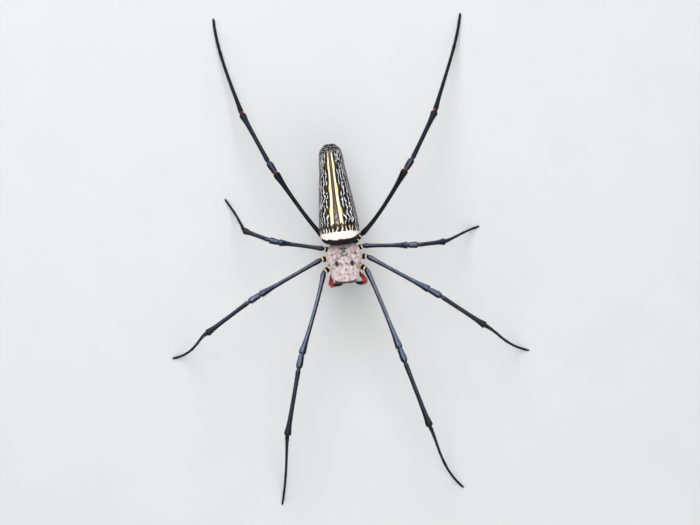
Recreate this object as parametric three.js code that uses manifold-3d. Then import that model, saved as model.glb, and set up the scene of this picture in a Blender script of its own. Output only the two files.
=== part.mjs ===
// A female golden silk orb weaver, life size, standing on the tips of its eight legs.
// Millimetres, +Z up. The head points toward -Y and the animal's left is toward +X.
// The origin is on the floor, under the middle of the ground that the legs span.

import * as THREE from 'three';
import { mergeVertices } from 'three/addons/utils/BufferGeometryUtils.js';
import Module from 'manifold-3d';

const wasm = await Module();
wasm.setup();

// Stance
const waistPlace = [-2.61, 5.87]; // the narrow waist, over the floor
const bodyTurn = 4.2; // degrees that the head is turned toward +X
const abdomenTurn = 2.6; // degrees more at the waist
const abdomenShift = -0.7; // the abdomen sits a little toward the right side
const gap = 0.3; // air between neighbours

// The shield over head and thorax. Rows run back from the face:
// ahead of the waist, half width, underside, widest level, top
const shieldRows = [
  [13.5, 2.5, 20.9, 21.8, 22.9],
  [13.1, 3.35, 20.5, 21.7, 23.5],
  [12.3, 4.05, 20.3, 21.6, 23.9],
  [11.3, 4.4, 20.1, 21.4, 24.1],
  [10.1, 4.5, 19.8, 21.2, 24.1],
  [8.6, 4.55, 19.4, 20.7, 23.9],
  [7.3, 4.9, 19.1, 20.2, 23.4],
  [5.6, 5.35, 19.0, 19.9, 22.8],
  [4.1, 5.35, 19.0, 19.8, 22.4],
  [2.8, 5.05, 18.9, 19.6, 21.7],
  [1.5, 4.3, 18.8, 19.3, 20.6],
  [0.5, 2.7, 18.8, 19.1, 19.6],
];
const hornPlace = [2.5, 7.4]; // the pair of dark horns: aside, ahead of the waist
const hornHeight = 1.0;
const hornRadius = 0.5;
const hornFoot = 22.95; // the level that the horns start from
const hornRise = 0.6; // how much of each is inside the shield
const pitCentre = [0.1, 3.6, 22.35]; // the crosswise pit behind the middle of the shield
const pitSize = [2.0, 0.9, 0.8];

// The plate under the thorax, with the lobes of the mouth in front
const breastRows = [
  [9.9, 1.2, 16.3, 17.2, 18.2],
  [8.6, 1.7, 15.8, 17.0, 18.4],
  [7.0, 1.8, 15.5, 16.9, 18.5],
  [4.9, 1.95, 15.4, 16.8, 18.5],
  [2.9, 1.7, 15.5, 16.9, 18.4],
  [1.2, 1.2, 15.8, 17.0, 18.3],
  [0.2, 0.6, 16.4, 17.1, 18.0],
];
const waistRadius = 0.8;
const waistReach = [1.6, -3.0, 17.9]; // from ahead to behind, and its level

// The long abdomen. Rows run back from its front: behind the waist, half width, underside,
// widest level, top
const abdomenRows = [
  [-0.9, 3.4, 21.8, 22.8, 24.1],
  [-0.3, 4.9, 20.5, 22.5, 25.4],
  [0.5, 5.85, 19.3, 22.2, 26.3],
  [1.4, 6.25, 18.1, 21.8, 26.9],
  [2.6, 6.4, 16.7, 21.4, 27.5],
  [4.3, 6.45, 15.6, 21.2, 27.8],
  [6.9, 6.3, 14.7, 20.9, 27.7],
  [10.1, 6.0, 14.1, 20.5, 27.1],
  [13.4, 5.55, 13.8, 20.0, 26.3],
  [18.3, 4.95, 13.5, 19.2, 25.0],
  [21.6, 4.45, 13.4, 18.6, 23.9],
  [24.9, 4.1, 13.5, 18.2, 22.9],
  [28.1, 3.85, 13.9, 17.8, 21.7],
  [30.2, 3.25, 14.6, 17.7, 20.7],
  [31.6, 1.9, 15.8, 17.6, 19.3],
];
const spinneretPlace = [25.6, 13.9]; // behind the waist, level of the belly there
const spinneretLength = 2.3;
const spinneretSpots = [[0.75, -0.6], [-0.75, -0.6], [0.7, 0.75], [-0.7, 0.75]]; // aside, behind
const spinneretRadii = [[0, 0.5], [0.4, 0.55], [0.85, 0.4], [1, 0.22]];
const spinneretMound = [1.35, 1.55, 0.8]; // half sizes of the mound that they stand on
const spinneretSink = 0.6; // how far below the belly they start
const spinneretRoots = [0.7, 0.6]; // where the roots stand, as shares of the spots
const spinneretTips = [0.85, 1.1]; // where the tips reach, as shares of the spots
const spinneretLean = 0.5; // how much farther behind the tips are

// Jaws, fangs and eyes on the left side, each spot as aside, ahead of the waist, up
const jawTop = [1.75, 12.35, 20.7];
const jawEnd = [1.65, 11.4, 13.2];
const jawRadii = [[0, 1.2], [0.06, 1.44], [0.25, 1.6], [0.55, 1.48], [0.8, 1.22], [0.95, 0.96], [1, 0.56]];
const fangPath = [[2.0, 11.45, 12.75], [1.6, 11.35, 11.7], [0.45, 10.95, 11.5]];
const fangRadii = [[0, 0.25], [0.1, 0.4], [0.4, 0.32], [0.75, 0.19], [1, 0.05]];
const eyeRadius = 0.31;
const eyeSpots = {
  front_middle: [0.72, 13.5, 22.1],
  front_side: [2.8, 13.22, 21.8],
  rear_middle: [0.8, 13.15, 23.05],
  rear_side: [3.15, 12.75, 22.65],
};

// Feelers beside the jaws, from root to tip
const palpPaths = {
  left: [
    [1.9, 9.5, 16.8], [3.2, 9.9, 17.3], [4.45, 10.7, 18.1], [5.7, 12.1, 18.6], [6.3, 13.6, 17.5],
    [4.9, 14.1, 16.0], [3.1, 13.7, 14.8],
  ],
  right: [
    [-1.9, 9.5, 16.8], [-3.2, 9.9, 17.3], [-4.3, 10.7, 18.1], [-4.7, 12.3, 18.5], [-4.85, 13.85, 17.2],
    [-3.3, 14.1, 15.6], [-1.1, 14.0, 14.4],
  ],
};
const palpRadii = [
  [0, 0.4], [0.04, 0.55], [0.2, 0.52], [0.33, 0.54], [0.42, 0.68], [0.5, 0.76], [0.58, 0.7], [0.68, 0.6],
  [0.82, 0.57], [0.94, 0.45], [1, 0.25],
];

// Legs by pair, from the front. root and hip: aside, ahead of the waist, up. lengths: femur,
// patella, tibia. coxa, girth and foot widen the hip, the long pieces and the foot
const pairs = [
  {
    root: [2.6, 7.1, 17.1], hip: [6.95, 9.6, 18.6], lengths: [29.8, 4.8, 22.8],
    coxa: 1.1, girth: 1.05, foot: 1,
  },
  {
    root: [2.75, 5.1, 17.1], hip: [7.75, 5.6, 18.4], lengths: [25.3, 4.5, 18.5],
    coxa: 1.1, girth: 1.02, foot: 1,
  },
  {
    root: [2.65, 3.1, 17.1], hip: [6.65, 2.0, 18.0], lengths: [15.8, 3.5, 11.2],
    coxa: 1, girth: 1, foot: 0.95,
  },
  {
    root: [2.3, 1.2, 16.9], hip: [6.2, -1.7, 17.4], lengths: [26.45, 4.3, 20.3],
    coxa: 1.1, girth: 1.05, foot: 1.25,
  },
];

// The pose of each leg. ways: turn and lift of femur, patella and tibia. Turn: degrees outward
// from straight ahead. Lift: degrees above level. bow: how far the femur bows toward the rear.
// A foot reaches from the ankle to the floor, with the turn and lift of its start and its end
const poses = [
  { side: 'left', ways: [[18.4, 21], [17.5, 7], [17, -10.5]], bow: 0.25,
    foot: { turn: 24.5, reach: 24.8, start: [22, -58], end: [46, -8] } },
  { side: 'left', ways: [[57.3, 27.6], [56, 2.5], [52.5, -20.5]], bow: 0,
    foot: { turn: 56.5, reach: 17.9, start: [58, -59], end: [74, -8] } },
  { side: 'left', ways: [[86.4, 25.2], [87.5, -0.5], [93, -39]], bow: 0,
    foot: { turn: 109.3, reach: 13.1, start: [106, -58], end: [104, -8] } },
  { side: 'left', ways: [[141.6, 16.9], [143.5, -7.5], [150.2, -30]], bow: -0.85,
    foot: { turn: 161, reach: 34.5, start: [160, -22], end: [170, -8] } },
  { side: 'right', ways: [[19, 23], [16, 9], [14, -13.5]], bow: -0.4,
    foot: { turn: 9.5, reach: 24.6, start: [9, -57], end: [14, -8] } },
  { side: 'right', ways: [[64, 28.2], [61.5, 11.5], [57.5, -21.5]], bow: 0,
    foot: { turn: 59, reach: 15.4, start: [72, -72], end: [84, -8] } },
  { side: 'right', ways: [[102, 24.8], [108.5, -4], [114.5, -39.5]], bow: 0,
    foot: { turn: 150.5, reach: 12.8, start: [155, -52], end: [147, -8] } },
  { side: 'right', ways: [[147.4, 10], [151, -2.5], [155.2, -25.5]], bow: -0.5,
    foot: { turn: 167, reach: 33.85, start: [163, -33], end: [179, -8] } },
];
const footPull = [0.38, 0.28]; // how far the start and end directions carry, as shares of the reach
const footTipLevel = 0.14; // the middle line of the tip over the floor
const femurBowPlace = 0.3; // where a femur bows most

// Radii along each leg piece: share of length, radius
const hipRadii = [
  [0, 0.45], [0.08, 0.72], [0.4, 1.0], [0.56, 1.0], [0.66, 0.8], [0.72, 0.84], [0.92, 0.78], [1, 0.45],
];
const femurRadii = [
  [0, 0.45], [0.015, 0.74], [0.05, 0.84], [0.14, 0.7], [0.4, 0.62], [0.65, 0.64], [0.8, 0.74],
  [0.9, 0.93], [0.96, 1.1], [0.985, 1.08], [1, 0.56],
];
const patellaRadii = [
  [0, 0.55], [0.05, 0.87], [0.3, 0.93], [0.6, 1.04], [0.85, 1.0], [0.95, 0.8], [1, 0.42],
];
const tibiaRadii = [
  [0, 0.42], [0.02, 0.68], [0.05, 0.72], [0.12, 0.68], [0.3, 0.65], [0.55, 0.66], [0.75, 0.73],
  [0.86, 0.84], [0.94, 1.04], [0.98, 1.06], [1, 0.52],
];
const footRadii = [
  [0, 0.38], [0.012, 0.6], [0.04, 0.64], [0.1, 0.55], [0.2, 0.48], [0.3, 0.45], [0.45, 0.42], [0.6, 0.4],
  [0.68, 0.42], [0.72, 0.37], [0.85, 0.36], [0.95, 0.35], [0.985, 0.31], [1, 0.2],
];
const legSides = 10;
const hipSides = 12;
const bodySides = 24;

// Surface colours
const colours = {
  leg: 0x1c1f2b,
  ring: 0x2a2420,
  shield: 0xb9a9a4,
  breast: 0x2b211b,
  waist: 0x3a2a24,
  abdomen: 0x24242a,
  spinneret: 0x3c2c22,
  jaw: 0x0d0c0e,
  fang: 0x2a0f0a,
  palp: 0x9a2c1c,
  eye: 0x08080a,
};

const model = new THREE.Group();
model.position.set(...waistPlace, 0);
model.rotation.z = THREE.MathUtils.degToRad(bodyTurn);

// A spot given as aside, ahead of the waist and up
function spot([aside, ahead, up]) {
  return new THREE.Vector3(aside, -ahead, up);
}

// A direction given as degrees outward from straight ahead, and degrees above level
function heading(turn, lift, side) {
  const outward = THREE.MathUtils.degToRad(turn);
  const above = THREE.MathUtils.degToRad(lift);
  const level = Math.cos(above);
  return new THREE.Vector3(side * Math.sin(outward) * level, -Math.cos(outward) * level, Math.sin(above));
}

// The geometry with its shared vertices merged and its empty triangles dropped
function joinedUp(geometry) {
  const bare = geometry.clone();
  bare.deleteAttribute('normal');
  bare.deleteAttribute('uv');
  const merged = mergeVertices(bare, 1e-4);
  const kept = [];
  for (let i = 0; i < merged.index.count; i += 3) {
    const [a, b, c] = [0, 1, 2].map((step) => merged.index.getX(i + step));
    if (a !== b && b !== c && c !== a) {
      kept.push(a, b, c);
    }
  }
  merged.setIndex(kept);
  return merged;
}

function toSolid(geometry) {
  const merged = joinedUp(geometry);
  return new wasm.Manifold(new wasm.Mesh({
    numProp: 3,
    vertProperties: new Float32Array(merged.attributes.position.array),
    triVerts: new Uint32Array(merged.index.array),
  }));
}

// The largest closed body of a solid, as a geometry
function toGeometry(solid) {
  const bodies = solid.decompose();
  bodies.sort((a, b) => b.volume() - a.volume());
  const mesh = bodies[0].getMesh();
  const geometry = new THREE.BufferGeometry();
  geometry.setAttribute('position', new THREE.BufferAttribute(mesh.vertProperties, 3));
  geometry.setIndex(new THREE.BufferAttribute(mesh.triVerts, 1));
  return geometry;
}

function cut(geometry, ...cutters) {
  let solid = toSolid(geometry);
  cutters.forEach((cutter) => {
    solid = solid.subtract(toSolid(cutter));
  });
  return toGeometry(solid);
}

function join(geometry, ...others) {
  let solid = toSolid(geometry);
  others.forEach((other) => {
    solid = solid.add(toSolid(other));
  });
  return toGeometry(solid);
}

// The same form, pushed out along its own normals
function grown(geometry, by) {
  const wider = joinedUp(geometry);
  wider.computeVertexNormals();
  const place = wider.attributes.position;
  const normal = wider.attributes.normal;
  for (let i = 0; i < place.count; i += 1) {
    place.setXYZ(
      i,
      place.getX(i) + normal.getX(i) * by,
      place.getY(i) + normal.getY(i) * by,
      place.getZ(i) + normal.getZ(i) * by,
    );
  }
  return wider;
}

// A round form along a path, its radii given as share of length and radius
function limb(path, radii, sides, above = new THREE.Vector3(0, 0, 1)) {
  const outline = radii.map(([share, radius]) => new THREE.Vector2(radius, share));
  outline.unshift(new THREE.Vector2(0, radii[0][0]));
  outline.push(new THREE.Vector2(0, radii.at(-1)[0]));
  const form = new THREE.LatheGeometry(outline, sides);
  const place = form.attributes.position;
  for (let i = 0; i < place.count; i += 1) {
    const share = place.getY(i);
    const ahead = path.getTangentAt(share);
    const across = ahead.clone().cross(above).normalize();
    const up = across.clone().cross(ahead);
    const middle = path.getPointAt(share);
    middle.addScaledVector(across, place.getX(i)).addScaledVector(up, place.getZ(i));
    place.setXYZ(i, middle.x, middle.y, middle.z);
  }
  return form;
}

// A body form from its rows, each row a section: along, half width, underside, widest level, top
function bodyForm(rows, sides, blunt) {
  const places = rows.map((row) => row[0]);
  const values = rows.flatMap((row) => row.slice(1));
  const reading = new THREE.CubicInterpolant(places, values, 4, []);
  const outline = [new THREE.Vector2(0, places[0] - blunt)];
  places.forEach((place, i) => {
    outline.push(new THREE.Vector2(rows[i][1], place));
    if (i + 1 < places.length) {
      const between = (place + places[i + 1]) / 2;
      outline.push(new THREE.Vector2(reading.evaluate(between)[0], between));
    }
  });
  outline.push(new THREE.Vector2(0, places.at(-1) + blunt));
  const form = new THREE.LatheGeometry(outline, sides);
  const place = form.attributes.position;
  for (let i = 0; i < place.count; i += 1) {
    const along = place.getY(i);
    const within = THREE.MathUtils.clamp(along, places[0], places.at(-1));
    const [half, low, widest, top] = reading.evaluate(within);
    const rise = place.getZ(i) / half;
    const level = widest + rise * (rise > 0 ? top - widest : widest - low);
    place.setXYZ(i, place.getX(i), along, level);
  }
  return form;
}

// Rows measured ahead of the waist become rows along +Y, so that the head points toward -Y
function facing(rows) {
  return rows.map(([ahead, ...rest]) => [-ahead, ...rest]);
}

function ball(radius, centre, stretch = [1, 1, 1]) {
  const form = new THREE.SphereGeometry(radius, 12, 7);
  form.scale(...stretch);
  form.translate(centre.x, centre.y, centre.z);
  return form;
}

function addPiece(name, geometry, colour, roughness, parent = model) {
  const material = new THREE.MeshStandardMaterial({ color: colour, roughness, metalness: 0 });
  const mesh = new THREE.Mesh(geometry, material);
  mesh.name = name;
  parent.add(mesh);
  return mesh;
}

function mirrored([aside, ahead, up], side) {
  return [aside * side, ahead, up];
}

// Head and thorax
const abdomenForm = bodyForm(abdomenRows, bodySides, 0.35);
const abdomenGroup = new THREE.Group();
abdomenGroup.position.x = abdomenShift;
abdomenGroup.rotation.z = THREE.MathUtils.degToRad(abdomenTurn);
abdomenGroup.updateMatrix();

const plainShield = bodyForm(facing(shieldRows), bodySides, 0.12);
const plainBreast = bodyForm(facing(breastRows), bodySides, 0.1);
const sides = { left: 1, right: -1 };

// The room that each body piece needs with the air around it
const shieldRoom = grown(plainShield, gap);
const breastRoom = grown(plainBreast, gap);
const abdomenRoom = grown(abdomenForm, gap);
abdomenRoom.applyMatrix4(abdomenGroup.matrix);

function eyeCentre(kind, side) {
  return spot(mirrored(eyeSpots[kind], side));
}

function horn(side) {
  const [aside, ahead] = hornPlace;
  const length = hornHeight + hornRise;
  const form = new THREE.ConeGeometry(hornRadius, length, 10);
  form.rotateX(Math.PI / 2);
  form.translate(aside * side, -ahead, hornFoot + length / 2);
  return form;
}

function makeShield() {
  const sockets = Object.keys(eyeSpots).flatMap((kind) => (
    Object.values(sides).map((side) => ball(eyeRadius + gap / 2, eyeCentre(kind, side)))
  ));
  const pit = ball(1, spot(pitCentre), pitSize.map((size) => size / 2));
  const withHorns = join(plainShield, horn(1), horn(-1));
  return cut(withHorns, pit, ...sockets);
}
addPiece('carapace', makeShield(), colours.shield, 0.6);

addPiece('sternum', plainBreast, colours.breast, 0.5);

// The waist, cut clear of what it joins
function makeWaist() {
  const [from, to, level] = waistReach;
  const path = new THREE.LineCurve3(spot([0, from, level]), spot([abdomenShift, to, level + 0.5]));
  const stem = limb(path, [[0, waistRadius], [0.5, waistRadius * 0.9], [1, waistRadius]], 12);
  return cut(stem, abdomenRoom, shieldRoom, breastRoom);
}
addPiece('pedicel', makeWaist(), colours.waist, 0.5);

// The abdomen and the spinnerets under its rear
addPiece('abdomen', abdomenForm, colours.abdomen, 0.45, abdomenGroup);

function makeSpinnerets() {
  const [behind, level] = spinneretPlace;
  const above = new THREE.Vector3(0, 1, 0);
  const mound = new THREE.SphereGeometry(1, 16, 8);
  mound.scale(...spinneretMound);
  mound.translate(0, behind, level - spinneretSink);
  const cones = spinneretSpots.map(([aside, along]) => {
    const root = [aside * spinneretRoots[0], behind + along * spinneretRoots[1]];
    const tip = [aside * spinneretTips[0], behind + along * spinneretTips[1] + spinneretLean];
    const start = new THREE.Vector3(...root, level - spinneretSink);
    const end = new THREE.Vector3(...tip, level - spinneretLength);
    return limb(new THREE.LineCurve3(start, end), spinneretRadii, 8, above);
  });
  return cut(join(mound, ...cones), grown(abdomenForm, gap));
}
addPiece('spinnerets', makeSpinnerets(), colours.spinneret, 0.6, abdomenGroup);
model.add(abdomenGroup);

// Jaws, fangs, feelers and eyes
const forward = new THREE.Vector3(0, -1, 0);

Object.entries(sides).forEach(([name, side]) => {
  const jawPath = new THREE.LineCurve3(spot(mirrored(jawTop, side)), spot(mirrored(jawEnd, side)));
  const jaw = limb(jawPath, jawRadii, 14, forward);
  addPiece(`chelicera_${name}`, cut(jaw, shieldRoom), colours.jaw, 0.25);

  const fangBend = new THREE.QuadraticBezierCurve3(...fangPath.map((place) => spot(mirrored(place, side))));
  addPiece(`fang_${name}`, limb(fangBend, fangRadii, 8, forward), colours.fang, 0.3);

  const palpPath = new THREE.CatmullRomCurve3(palpPaths[name].map(spot));
  addPiece(`palp_${name}`, limb(palpPath, palpRadii, 10), colours.palp, 0.5);

  Object.keys(eyeSpots).forEach((kind) => {
    const eye = new THREE.SphereGeometry(eyeRadius, 12, 7);
    const mesh = addPiece(`eye_${kind}_${name}`, eye, colours.eye, 0.08);
    mesh.position.copy(eyeCentre(kind, side));
  });
});

// A path from start to end that bows level and toward the rear, off the straight line
function bowedPath(start, end, bow, side) {
  const ahead = end.clone().sub(start).cross(new THREE.Vector3(0, 0, side)).normalize();
  const peak = start.clone().lerp(end, femurBowPlace).addScaledVector(ahead, -2 * bow);
  return new THREE.QuadraticBezierCurve3(start, peak, end);
}

function scaled(radii, by) {
  return radii.map(([share, radius]) => [share, radius * by]);
}

function makeLeg(number, pair, pose) {
  const side = sides[pose.side];
  const name = (piece) => `leg${number}_${pose.side}_${piece}`;
  const hip = spot(mirrored(pair.hip, side));
  const root = spot(mirrored(pair.root, side));

  const hipEnd = hip.clone().lerp(root, gap / hip.distanceTo(root));
  const hipForm = limb(new THREE.LineCurve3(root, hipEnd), scaled(hipRadii, pair.coxa), hipSides);
  addPiece(name('hip'), cut(hipForm, shieldRoom, abdomenRoom), colours.ring, 0.5);

  let joint = hip;
  [['femur', femurRadii], ['patella', patellaRadii], ['tibia', tibiaRadii]].forEach(([piece, radii], i) => {
    const along = heading(...pose.ways[i], side);
    const length = pair.lengths[i];
    const start = joint.clone().addScaledVector(along, gap / 2);
    const end = joint.clone().addScaledVector(along, length - gap / 2);
    const path = bowedPath(start, end, i === 0 ? pose.bow : 0, side);
    addPiece(name(piece), limb(path, scaled(radii, pair.girth), legSides), colours.leg, 0.35);
    joint = joint.clone().addScaledVector(along, length);
  });

  // The foot leaves the ankle steeply and lies down along the floor at its tip
  const { turn, reach, start, end } = pose.foot;
  const tip = joint.clone().addScaledVector(heading(turn, 0, side), reach).setZ(footTipLevel);
  const chord = tip.distanceTo(joint);
  const ankle = joint.clone().addScaledVector(heading(...start, side), gap);
  const path = new THREE.CubicBezierCurve3(
    ankle,
    joint.clone().addScaledVector(heading(...start, side), chord * footPull[0]),
    tip.clone().addScaledVector(heading(...end, side), -chord * footPull[1]),
    tip,
  );
  const below = new THREE.BoxGeometry(12, 12, 4); // all that is under the floor there
  below.translate(tip.x, tip.y, -2);
  addPiece(name('foot'), cut(limb(path, scaled(footRadii, pair.foot), legSides), below), colours.leg, 0.4);
}

poses.forEach((pose, i) => {
  const pairIndex = i % pairs.length;
  makeLeg(pairIndex + 1, pairs[pairIndex], pose);
});

export default model;
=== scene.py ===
import math

import bmesh
import bpy
import numpy as np
from mathutils import Matrix, Vector


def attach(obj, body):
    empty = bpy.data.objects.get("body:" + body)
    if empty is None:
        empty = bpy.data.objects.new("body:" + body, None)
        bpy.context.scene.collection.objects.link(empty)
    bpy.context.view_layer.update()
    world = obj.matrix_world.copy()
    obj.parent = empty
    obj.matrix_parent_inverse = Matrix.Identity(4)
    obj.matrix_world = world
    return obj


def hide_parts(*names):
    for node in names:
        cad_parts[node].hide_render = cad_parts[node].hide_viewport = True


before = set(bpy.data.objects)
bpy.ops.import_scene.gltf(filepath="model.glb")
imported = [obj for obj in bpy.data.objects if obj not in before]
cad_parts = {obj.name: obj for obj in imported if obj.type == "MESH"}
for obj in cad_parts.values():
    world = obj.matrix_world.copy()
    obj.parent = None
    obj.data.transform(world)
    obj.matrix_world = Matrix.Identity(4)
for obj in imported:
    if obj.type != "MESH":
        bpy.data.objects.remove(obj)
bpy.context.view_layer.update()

mm = 0.001  # every size below is in millimetres; pieces become metres at their finish

# The body stands over the floor at its waist. Spots on the animal are (aside, ahead, up) from there
stance = {"waist": (-2.61, 5.87), "bodyTurn": 4.2, "abdomenTurn": 2.6, "abdomenShift": -0.7}
bodySpace = (Matrix.Translation((*stance["waist"], 0))
             @ Matrix.Rotation(math.radians(stance["bodyTurn"]), 4, "Z"))
abdomenSpace = (bodySpace @ Matrix.Translation((stance["abdomenShift"], 0, 0))
                @ Matrix.Rotation(math.radians(stance["abdomenTurn"]), 4, "Z"))
sides = {"left": 1, "right": -1}


def spot(place, side=1):
    aside, ahead, up = place
    return Vector((aside * side, -ahead, up))


def heading(turn, lift, side):  # degrees outward from straight ahead, degrees above level
    turn, lift = math.radians(turn), math.radians(lift)
    return Vector((side * math.sin(turn) * math.cos(lift), -math.cos(turn) * math.cos(lift), math.sin(lift)))


def readRows(rows, place):  # a smooth reading between given rows of place and values
    if place <= rows[0][0]:
        return list(rows[0][1:])
    if place >= rows[-1][0]:
        return list(rows[-1][1:])
    i = max(k for k in range(len(rows) - 1) if rows[k][0] <= place)
    low, high = rows[i], rows[i + 1]
    before, after = rows[max(i - 1, 0)], rows[min(i + 2, len(rows) - 1)]
    wide = high[0] - low[0]
    t = (place - low[0]) / wide
    values = []
    for k in range(1, len(low)):
        step = (high[k] - low[k]) / wide
        slopeIn = (high[k] - before[k]) / (high[0] - before[0])
        slopeOut = (after[k] - low[k]) / (after[0] - low[0])
        if i == 0:
            slopeIn = step
        if i == len(rows) - 2:
            slopeOut = step
        limit = 3 * abs(step)  # keeps the curve from swinging past the rows
        slopeIn = max(-limit, min(limit, slopeIn)) if slopeIn * step > 0 else 0
        slopeOut = max(-limit, min(limit, slopeOut)) if slopeOut * step > 0 else 0
        values.append(low[k] * (1 + 2 * t) * (1 - t) ** 2 + high[k] * t * t * (3 - 2 * t)
                      + wide * (slopeIn * t * (1 - t) ** 2 - slopeOut * t * t * (1 - t)))
    return values


def bell(distance, reach):  # 1 in the middle, 0 from reach on
    share = min(abs(distance) / reach, 1)
    return (1 - share * share) ** 2


def oval(x, y, middle, size=(1, 1)):  # 0 in the middle of an oval, 1 on its outline
    return math.hypot((x - middle[0]) / size[0], (y - middle[1]) / size[1])


# Shader maths: a socket that takes part in Python sums
class Wire:
    def __init__(self, finish, socket):
        self.finish = finish
        self.socket = socket

    def maths(self, kind, *values):
        return self.finish.node("ShaderNodeMath", {"operation": kind}, dict(enumerate(values)))

    def __add__(self, other):
        return self.maths("ADD", self, other)

    __radd__ = __add__

    def __sub__(self, other):
        return self.maths("SUBTRACT", self, other)

    def __rsub__(self, other):
        return self.maths("SUBTRACT", other, self)

    def __mul__(self, other):
        return self.maths("MULTIPLY", self, other)

    __rmul__ = __mul__

    def __truediv__(self, other):
        return self.maths("DIVIDE", self, other)

    def __abs__(self):
        return self.maths("ABSOLUTE", self)

    def sine(self):
        return self.maths("SINE", self)

    def power(self, other):
        return self.maths("POWER", self, other)

    def most(self, other):
        return self.maths("MAXIMUM", self, other)

    def least(self, other):
        return self.maths("MINIMUM", self, other)

    def ramp(self, low, high):  # 0 up to low, 1 from high on; high may be the lower one
        return self.finish.node("ShaderNodeMapRange", {"interpolation_type": "SMOOTHSTEP", "clamp": True},
                                {"Value": self, "From Min": low, "From Max": high})

    def near(self, middle, half, soft):  # 1 within half of middle, fading over soft
        return abs(self - middle).ramp(half + soft, half)


class Finish:
    def __init__(self, name, **constants):
        self.material = bpy.data.materials.new(name)
        self.material.use_nodes = True
        self.tree = self.material.node_tree
        self.tree.nodes.clear()
        out = self.tree.nodes.new("ShaderNodeOutputMaterial")
        self.shader = self.tree.nodes.new("ShaderNodeBsdfPrincipled")
        self.tree.links.new(self.shader.outputs[0], out.inputs["Surface"])
        for key, value in constants.items():
            self.shader.inputs[key.replace("_", " ")].default_value = value

    def node(self, kind, settings=None, values=None, output=0):
        made = self.tree.nodes.new(kind)
        for key, value in (settings or {}).items():
            setattr(made, key, value)
        for key, value in (values or {}).items():
            if isinstance(value, Wire):
                self.tree.links.new(value.socket, made.inputs[key])
            else:
                made.inputs[key].default_value = value
        return Wire(self, made.outputs[output])

    def place(self):
        return self.node("ShaderNodeTexCoord", output="Object")

    def split(self, vector):
        return [self.node("ShaderNodeSeparateXYZ", {}, {0: vector}, output=axis) for axis in "XYZ"]

    def skinMap(self):
        return self.split(self.node("ShaderNodeUVMap", {"uv_map": "skinMap"}))[:2]

    def join(self, x, y, z=0.0):
        return self.node("ShaderNodeCombineXYZ", {}, {0: x, 1: y, 2: z})

    def mark(self, name):
        return self.node("ShaderNodeAttribute", {"attribute_name": name}, output="Fac")

    def noise(self, vector, scale, detail=3.0, rough=0.55):
        return self.node("ShaderNodeTexNoise", {}, {"Vector": vector, "Scale": scale, "Detail": detail,
                                                    "Roughness": rough})

    def cells(self, vector, scale, feature="F1"):
        return self.node("ShaderNodeTexVoronoi", {"feature": feature}, {"Vector": vector, "Scale": scale},
                         output="Distance")

    def blend(self, amount, under, over):
        under, over = (value if isinstance(value, Wire) else (*value, 1) for value in (under, over))
        return self.node("ShaderNodeMix", {"data_type": "RGBA"}, {0: amount, 6: under, 7: over}, output=2)

    def bump(self, height, depth, strength=1.0, under=None):
        values = {"Height": height, "Distance": depth * mm, "Strength": strength}
        if under:
            values["Normal"] = under
        return self.node("ShaderNodeBump", {}, values)

    def set(self, **links):
        for key, value in links.items():
            socket = self.shader.inputs[key.replace("_", " ")]
            if isinstance(value, Wire):
                self.tree.links.new(value.socket, socket)
            else:
                socket.default_value = value
        return self.material


# Mesh tools
def drawTube(frames, turns):
    # one ring drawn out from frame to frame; every vertex keeps its turn round the middle line,
    # 0 at the top and 0.5 below, and the number of its ring
    bm = bmesh.new()
    turnLayer = bm.verts.layers.float.new("turn")
    ringLayer = bm.verts.layers.int.new("ring")
    ring = bmesh.ops.create_circle(bm, segments=turns, radius=1)["verts"]
    for vert in ring:
        vert[turnLayer] = math.atan2(vert.co.x, vert.co.y) / math.tau
    bmesh.ops.transform(bm, matrix=frames[0], verts=ring)
    first, edges = ring, bm.edges[:]
    for number, (last, this) in enumerate(zip(frames, frames[1:]), 1):
        drawn = bmesh.ops.extrude_edge_only(bm, edges=edges)["geom"]
        ring = [part for part in drawn if isinstance(part, bmesh.types.BMVert)]
        inRing = set(ring)
        edges = [part for part in drawn
                 if isinstance(part, bmesh.types.BMEdge) and inRing.issuperset(part.verts)]
        bmesh.ops.transform(bm, matrix=this @ last.inverted(), verts=ring)
        for vert in ring:
            vert[ringLayer] = number
    for end, matrix in ((first, frames[0]), (ring, frames[-1])):
        bmesh.ops.pointmerge(bm, verts=end, merge_co=matrix.translation)
    bmesh.ops.recalc_face_normals(bm, faces=bm.faces)
    return bm


def addTube(bm, tube):  # puts a finished tube into the mesh
    mesh = bpy.data.meshes.new("tube")
    tube.to_mesh(mesh)
    tube.free()
    bm.from_mesh(mesh)
    bpy.data.meshes.remove(mesh)


def evenly(count):
    return [k / count for k in range(count + 1)]


def bezier(points, share):
    points = list(points)
    while len(points) > 1:
        points = [a.lerp(b, share) for a, b in zip(points, points[1:])]
    return points[0]


def drawAlong(line, radii, turns, above, flat=1, ahead=None):
    # a tube along a line of spots, both ends drawn to a point; ahead is set for a straight one
    frames, last = [], len(line) - 1
    for k, (middle, radius) in enumerate(zip(line, radii)):
        wide = radius if 0 < k < last else 0.01
        way = ahead or line[min(k + 1, last)] - line[max(k - 1, 0)]
        frames.append(ringFrame(middle, way, above, wide, wide * flat))
    return drawTube(frames, turns)


def ringFrame(middle, ahead, above, wide, high=None):
    across = ahead.cross(above).normalized()
    up = across.cross(ahead).normalized()
    frameMatrix = Matrix((across * wide, up * (high or wide), ahead.normalized())).transposed().to_4x4()
    return Matrix.Translation(middle) @ frameMatrix


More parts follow.
